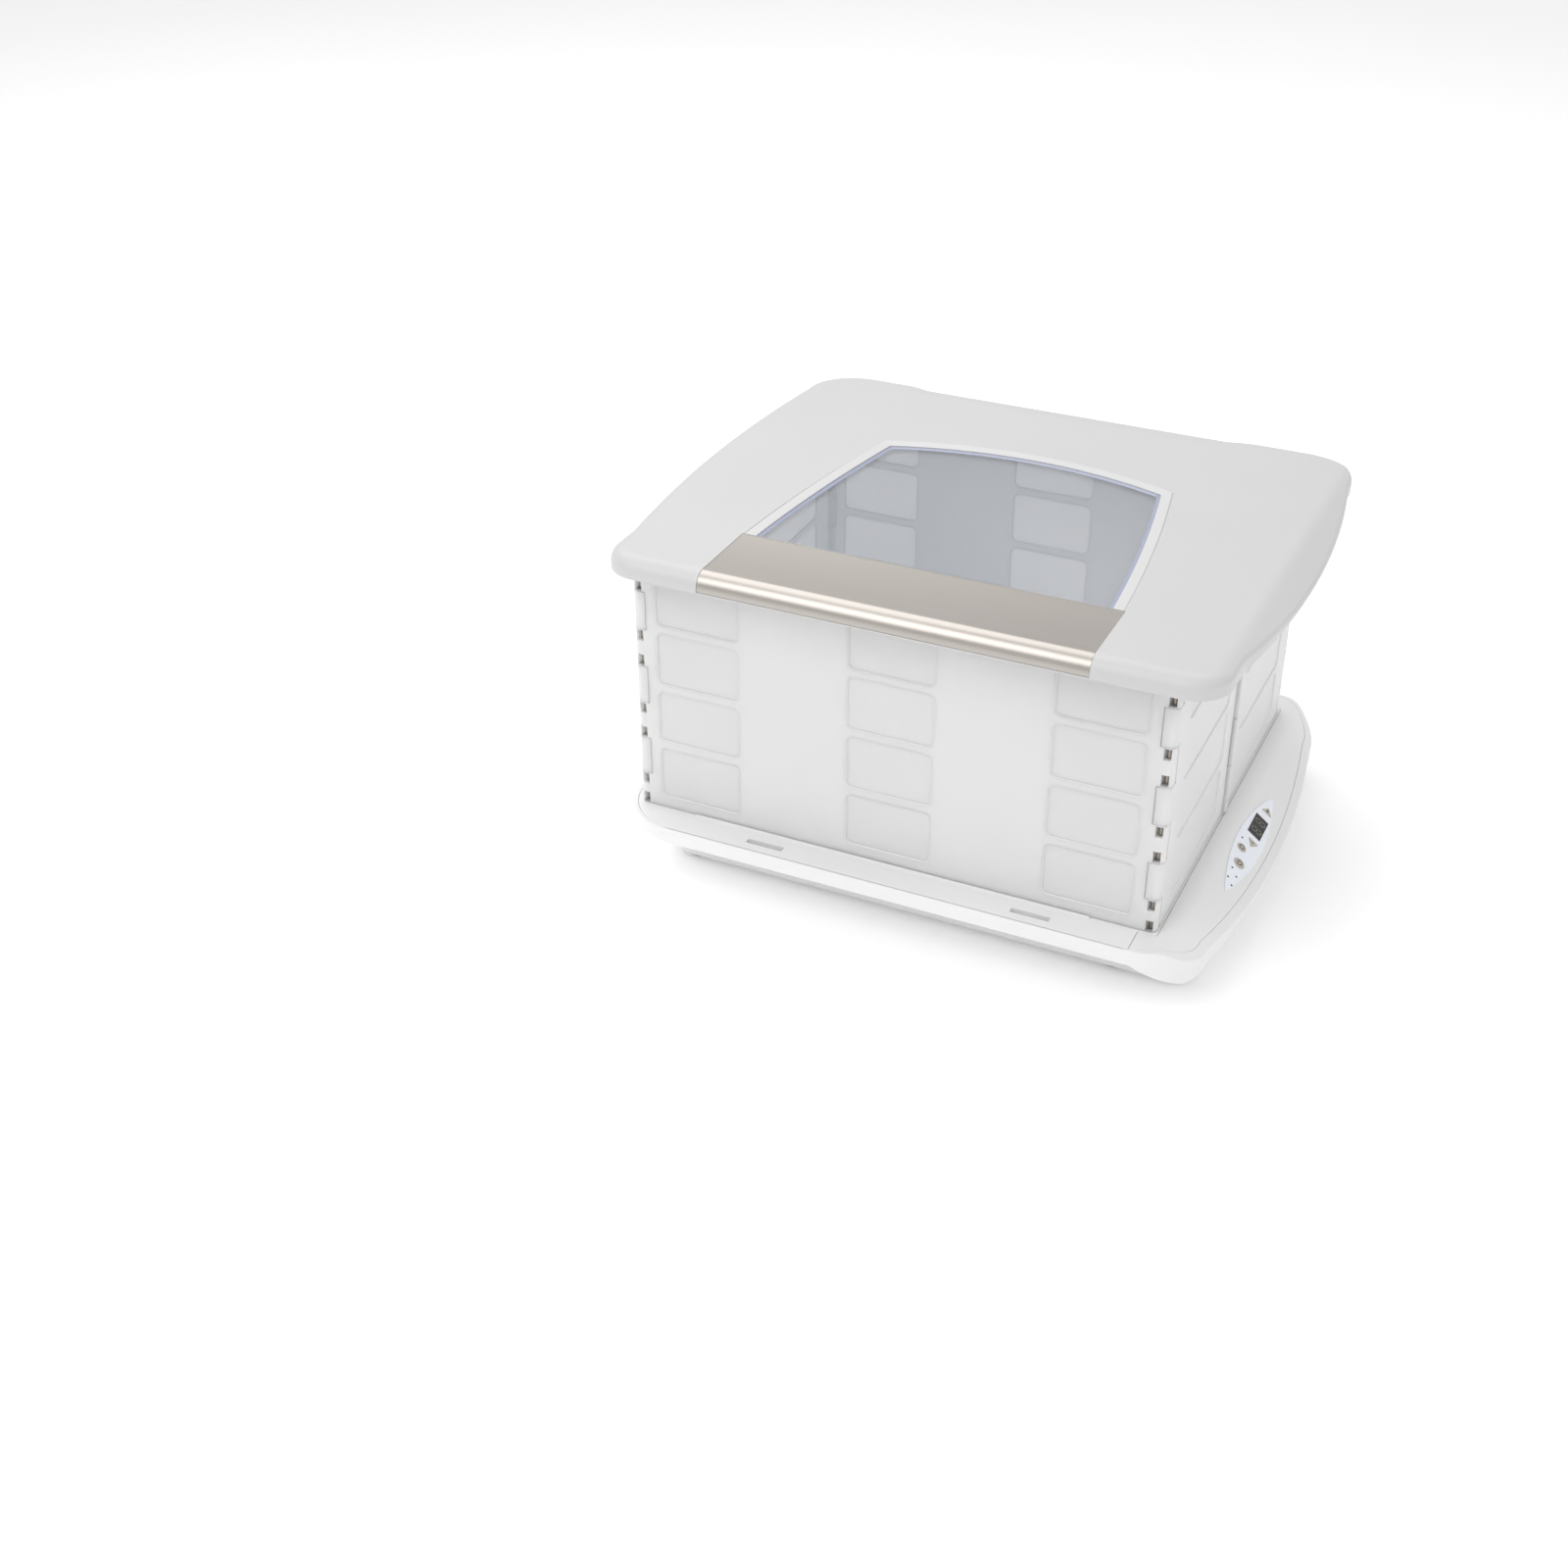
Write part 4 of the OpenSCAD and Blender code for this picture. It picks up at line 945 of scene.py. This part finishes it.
class PROOFER_OT_walls(bpy.types.Operator):
    """Builds the folding walls and the beads round their pockets"""

    bl_idname = "proofer.walls"
    bl_label = "Walls"

    def execute(self, context):
        shape = context.scene.proofer_shape
        for node in WALLS:
            moulding(node, 0.3 * MM)
        beads = rim_tree()
        low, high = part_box("front_wall")
        middle = (low.x + high.x) / 2
        column = (high.x - low.x) / 2 - COLUMN_MARGIN - shape.pocket_width / 2
        columns = (middle - column, middle, middle + column)
        for node, face, inward in (("front_wall", low.y, 1), ("back_wall", -low.y, -1)):
            self.edge(beads, shape, node, columns, shape.pocket_width,
                      (-face, -face - inward * WALL_T), STAND_LONG)
        for side, face, inward in (("right", high.x, -1), ("left", low.x, 1)):
            for leaf, sign in (("front", -1), ("rear", 1)):
                self.edge(beads, shape, f"{side}_{leaf}_leaf", (sign * LEAF_MIDDLE,),
                          shape.leaf_pocket_width, (face, face + inward * WALL_T), STAND_SIDE)
        return {"FINISHED"}

    @staticmethod
    def edge(beads, shape, node, columns, width, faces, stand):
        """Beads just inside a panel's pockets, on both of its faces."""
        low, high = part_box("front_wall")
        step = (high.z - low.z - PLAIN_EDGES) / POCKET_ROWS
        rows = [low.z + FIRST_POCKET + POCKET_HEIGHT / 2 + k * step for k in range(POCKET_ROWS)]
        middle = sum(faces) / 2
        points = []
        for face in faces:
            sunk = face + math.copysign(BEAD_DEPTH, middle - face)
            points += [(along, up, sunk) for along in columns for up in rows]
        piece = points_object(node + "_pocket_beads", points)
        # The beads take the base's lighter white, not the wall's own plastic: painted light that lifts the shade
        # along the pocket edges
        beads.grow(piece, Width=width, Depth=POCKET_HEIGHT, Corner=POCKET_CORNER,
                   Radius=shape.bead_radius, Sides=10, Material=MATERIAL["base_plastic"])
        piece.data.transform(stand)
        smooth(piece)
        dress(piece, node, slot="base_plastic")


# ---- base ----


class PROOFER_OT_base(bpy.types.Operator):
    """Builds the heated base's mouldings, feet and tray"""

    bl_idname = "proofer.base"
    bl_label = "Base"

    def execute(self, context):
        width = context.scene.proofer_shape.edge_round
        for node in ("base_shell", "base_deck", "control_cover"):
            moulding(node, width)
        moulding("water_tray", 0.3 * MM)
        moulding("rubber_feet", 1 * MM, 3)
        moulding("power_inlet", 0.3 * MM)
        return {"FINISHED"}


def plate_on_panel(outline, z0, z1):
    """A thin closed plate on the control panel, from an outline in panel coordinates."""
    place = panel_matrix()
    loops = [[place @ Vector((x, y, z)) for x, y in outline] for z in (z0, z1)]
    return loft(loops, closed_ring=False)


def bar(cx, cy, width, length):
    return [(cx - width / 2, cy - length / 2), (cx + width / 2, cy - length / 2),
            (cx + width / 2, cy + length / 2), (cx - width / 2, cy + length / 2)]


def arc_strip(cx, cy, radius, width, start, end, steps):
    """A flat strip along an arc, as a closed outline."""
    turns = [math.radians(start + (end - start) * k / steps) for k in range(steps + 1)]
    outer = [(cx + (radius + width / 2) * math.cos(t), cy + (radius + width / 2) * math.sin(t))
             for t in turns]
    inner = [(cx + (radius - width / 2) * math.cos(t), cy + (radius - width / 2) * math.sin(t))
             for t in reversed(turns)]
    return outer + inner


SYMBOL_LINE = 0.8 * MM
SYMBOL_FOOT = 0.98 * MM
SYMBOL_TOP = 1.06 * MM


class PROOFER_OT_panel(bpy.types.Operator):
    """Builds the keypad, the keys and their symbols"""

    bl_idname = "proofer.panel"
    bl_label = "Control panel"

    def execute(self, context):
        moulding("keypad_overlay", 0.12 * MM)
        for key in ("button_power", "button_mode", "button_up", "button_down"):
            moulding(key, 0.35 * MM, 3)
        line = SYMBOL_LINE
        u, v = on_panel("button_power")
        ring = arc_strip(u, v, 2.1 * MM, line, 215, 505, 28)
        stem = bar(u - 1.6 * MM, v, 2.0 * MM, line)
        self.symbol("power_symbol", "power_key", [ring, stem])
        u, v = on_panel("button_mode")
        hexagon = arc_strip(u, v, 2.2 * MM, line, 0, 300, 5)
        last = arc_strip(u, v, 2.2 * MM, line, 300, 360, 1)
        self.symbol("mode_symbol", "mode_key", [hexagon, last])
        u, v = on_panel("button_up")
        v -= 1.2 * MM
        self.symbol("up_symbol", "up_key",
                    [bar(u, v, 2.8 * MM, line), bar(u, v + 0.95 * MM, line, 1.3 * MM),
                     bar(u, v - 0.95 * MM, line, 1.3 * MM)])
        u, v = on_panel("button_down")
        self.symbol("down_symbol", "down_key", [bar(u, v + 1.2 * MM, 2.6 * MM, line)])
        return {"FINISHED"}

    @staticmethod
    def symbol(name, body, outlines):
        parts = [plate_on_panel(outline, SYMBOL_FOOT, SYMBOL_TOP) for outline in outlines]
        piece = new_object(name, join(parts, name))
        piece.data.materials.append(MATERIAL["legend"])
        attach(piece, body)


# ---- rack ----


class PROOFER_OT_rack(bpy.types.Operator):
    """Builds the wire rack and its folding legs"""

    bl_idname = "proofer.rack"
    bl_label = "Rack"

    def execute(self, context):
        wires = wire_tree()
        wire = MATERIAL["rack_wire"]
        for node, axis in (("rack_cross_wires", 1), ("rack_long_wires", 0)):
            boxes = solids_of(node)
            low, high = boxes[0]
            reach = Vector((0, 0, 0))
            reach[axis] = (high[axis] - low[axis]) / 2
            piece = points_object(node + "_drawn", [(a + b) / 2 for a, b in boxes])
            wires.grow(piece, Reach=reach, Radius=(high.z - low.z) / 2, Sides=14, Material=wire)
            for face in piece.data.polygons:
                face.use_smooth = len(face.vertices) == 4
            dress(piece, node, stands_for=[node])
        low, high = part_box("rack_frame")
        radius = (high.z - low.z) / 2
        piece = points_object("rack_frame_drawn", [(low + high) / 2])
        rim_tree().grow(piece, Width=high.x - low.x - 2 * radius, Depth=high.y - low.y - 2 * radius,
                        Corner=22 * MM, Radius=radius, Sides=16, Material=wire)
        smooth(piece)
        dress(piece, "rack_frame", stands_for=["rack_frame"])
        crossings = []
        long_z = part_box("rack_long_wires")[1].z
        for a, b in solids_of("rack_cross_wires"):
            for c, d in solids_of("rack_long_wires"):
                crossings.append(((a.x + b.x) / 2, (c.y + d.y) / 2, long_z))
        piece = points_object("rack_weld_beads", crossings)
        bead_tree().grow(piece, Radius=0.9 * MM, Material=wire)
        smooth(piece)
        dress(piece, "rack_frame", slot="rack_wire")
        for node in ("left_leg", "right_leg"):
            moulding(node, 0.2 * MM, 2, 50)
        return {"FINISHED"}


# ---- fasteners ----


class PROOFER_OT_screws(bpy.types.Operator):
    """Builds the cross-head screws of the base, cover and lid"""

    bl_idname = "proofer.screws"
    bl_label = "Screws"

    def execute(self, context):
        recess = context.scene.proofer_shape.cross_recess
        screws = screw_tree()
        for node, rise, shank in (("base_screws", 2, 1.5), ("cover_screws", 1.5, 1.25),
                                  ("lid_screws", 1.2, 1.25)):
            boxes = solids_of(node)
            low, high = boxes[0]
            points = [((a.x + b.x) / 2, (a.y + b.y) / 2, a.z) for a, b in boxes]
            piece = points_object(node + "_crosshead", points)
            screws.grow(piece, Head=(high.x - low.x) / 2, Rise=rise * MM, Shank=shank * MM,
                        Length=high.z - low.z, Recess=recess, Material=MATERIAL["screw_steel"])
            dress(piece, node, stands_for=[node])
        return {"FINISHED"}


class PROOFER_OT_works(bpy.types.Operator):
    """Finishes the parts that stay as the frame has them"""

    bl_idname = "proofer.works"
    bl_label = "Inner works"

    def execute(self, context):
        for node, carried in frame["nodes"].items():
            if not carried.hide_render:
                carried.data.materials.clear()
                carried.data.materials.append(MATERIAL[SLOT_OF[node]])
        return {"FINISHED"}


# ---- stage ----


class PROOFER_OT_stage(bpy.types.Operator):
    """Sets the floor, lights and camera"""

    bl_idname = "proofer.stage"
    bl_label = "Stage"

    def execute(self, context):
        stage = context.scene.proofer_stage
        scene = context.scene
        bm = bmesh.new()
        bmesh.ops.create_grid(bm, x_segments=1, y_segments=1, size=12)
        floor = new_object("floor", mesh_from(bm, "floor"))
        material, tree, bsdf = shader("floor_paper")
        tint_by(tree, bsdf, noise_on(tree, 2.0), (0.97, 0.97, 0.97), (0.98, 0.98, 0.98))
        bsdf.inputs["Roughness"].default_value = 0.9
        bsdf.inputs["Emission Color"].default_value = (1, 1, 1, 1)
        bsdf.inputs["Emission Strength"].default_value = stage.floor_glow
        floor.data.materials.append(material)
        self.lamp("key", (-0.9, 0.7, 2.0), 2.2, stage.key_power)
        self.lamp("fill", (-0.75, -1.6, 1.9), 1.6, stage.fill_power)
        self.lamp("side", (1.8, -0.3, 1.2), 1.4, stage.side_power)
        world = bpy.data.worlds.new("studio")
        world.use_nodes = True
        sky = world.node_tree.nodes["Background"]
        sky.inputs["Color"].default_value = (1, 1, 1, 1)
        sky.inputs["Strength"].default_value = stage.sky
        scene.world = world
        data = bpy.data.cameras.new("camera")
        data.lens = stage.lens
        data.sensor_width = 36
        data.clip_start = 0.05
        camera = new_object("camera", data)
        camera.location = stage.camera_place
        camera.rotation_euler = stage.camera_turn
        scene.camera = camera
        scene.view_settings.view_transform = "Standard"
        return {"FINISHED"}

    @staticmethod
    def lamp(name, place, size, power):
        data = bpy.data.lights.new(name, "AREA")
        data.shape = "DISK"
        data.size = size
        data.energy = power
        lamp = new_object(name, data)
        lamp.location = place
        aim = Vector((0, 0, 0.12)) - Vector(place)
        lamp.rotation_euler = aim.to_track_quat("-Z", "Y").to_euler()


PIECES = (PROOFER_OT_lid, PROOFER_OT_window, PROOFER_OT_trim, PROOFER_OT_walls, PROOFER_OT_base,
          PROOFER_OT_panel, PROOFER_OT_rack, PROOFER_OT_screws, PROOFER_OT_works,
          PROOFER_OT_stage)


class PROOFER_PT_panel(bpy.types.Panel):
    """Lists the pieces and their settings"""

    bl_idname = "PROOFER_PT_panel"
    bl_label = "Proofing box"
    bl_space_type = "VIEW_3D"
    bl_region_type = "UI"
    bl_category = "Proofer"

    def draw(self, context):
        for group in ("proofer_finish", "proofer_shape", "proofer_stage"):
            settings = getattr(context.scene, group)
            box = self.layout.box()
            for name in settings.bl_rna.properties.keys():
                if name not in ("rna_type", "name"):
                    box.prop(settings, name)
        for piece in PIECES:
            self.layout.operator(piece.bl_idname)


SETTINGS = {"proofer_finish": ProoferFinish, "proofer_shape": ProoferShape,
            "proofer_stage": ProoferStage}


def register():
    for cls in (*SETTINGS.values(), *PIECES, PROOFER_PT_panel):
        bpy.utils.register_class(cls)
    for name, cls in SETTINGS.items():
        setattr(bpy.types.Scene, name, bpy.props.PointerProperty(type=cls))


def unregister():
    for name in SETTINGS:
        delattr(bpy.types.Scene, name)
    for cls in reversed((*SETTINGS.values(), *PIECES, PROOFER_PT_panel)):
        bpy.utils.unregister_class(cls)


def main():
    register()
    MATERIAL.update(make_materials(bpy.context.scene.proofer_finish))
    bpy.ops.proofer.lid()
    bpy.ops.proofer.window()
    bpy.ops.proofer.trim()
    bpy.ops.proofer.walls()
    bpy.ops.proofer.base()
    bpy.ops.proofer.panel()
    bpy.ops.proofer.rack()
    bpy.ops.proofer.screws()
    bpy.ops.proofer.works()
    bpy.ops.proofer.stage()


if __name__ == "__main__":
    main()
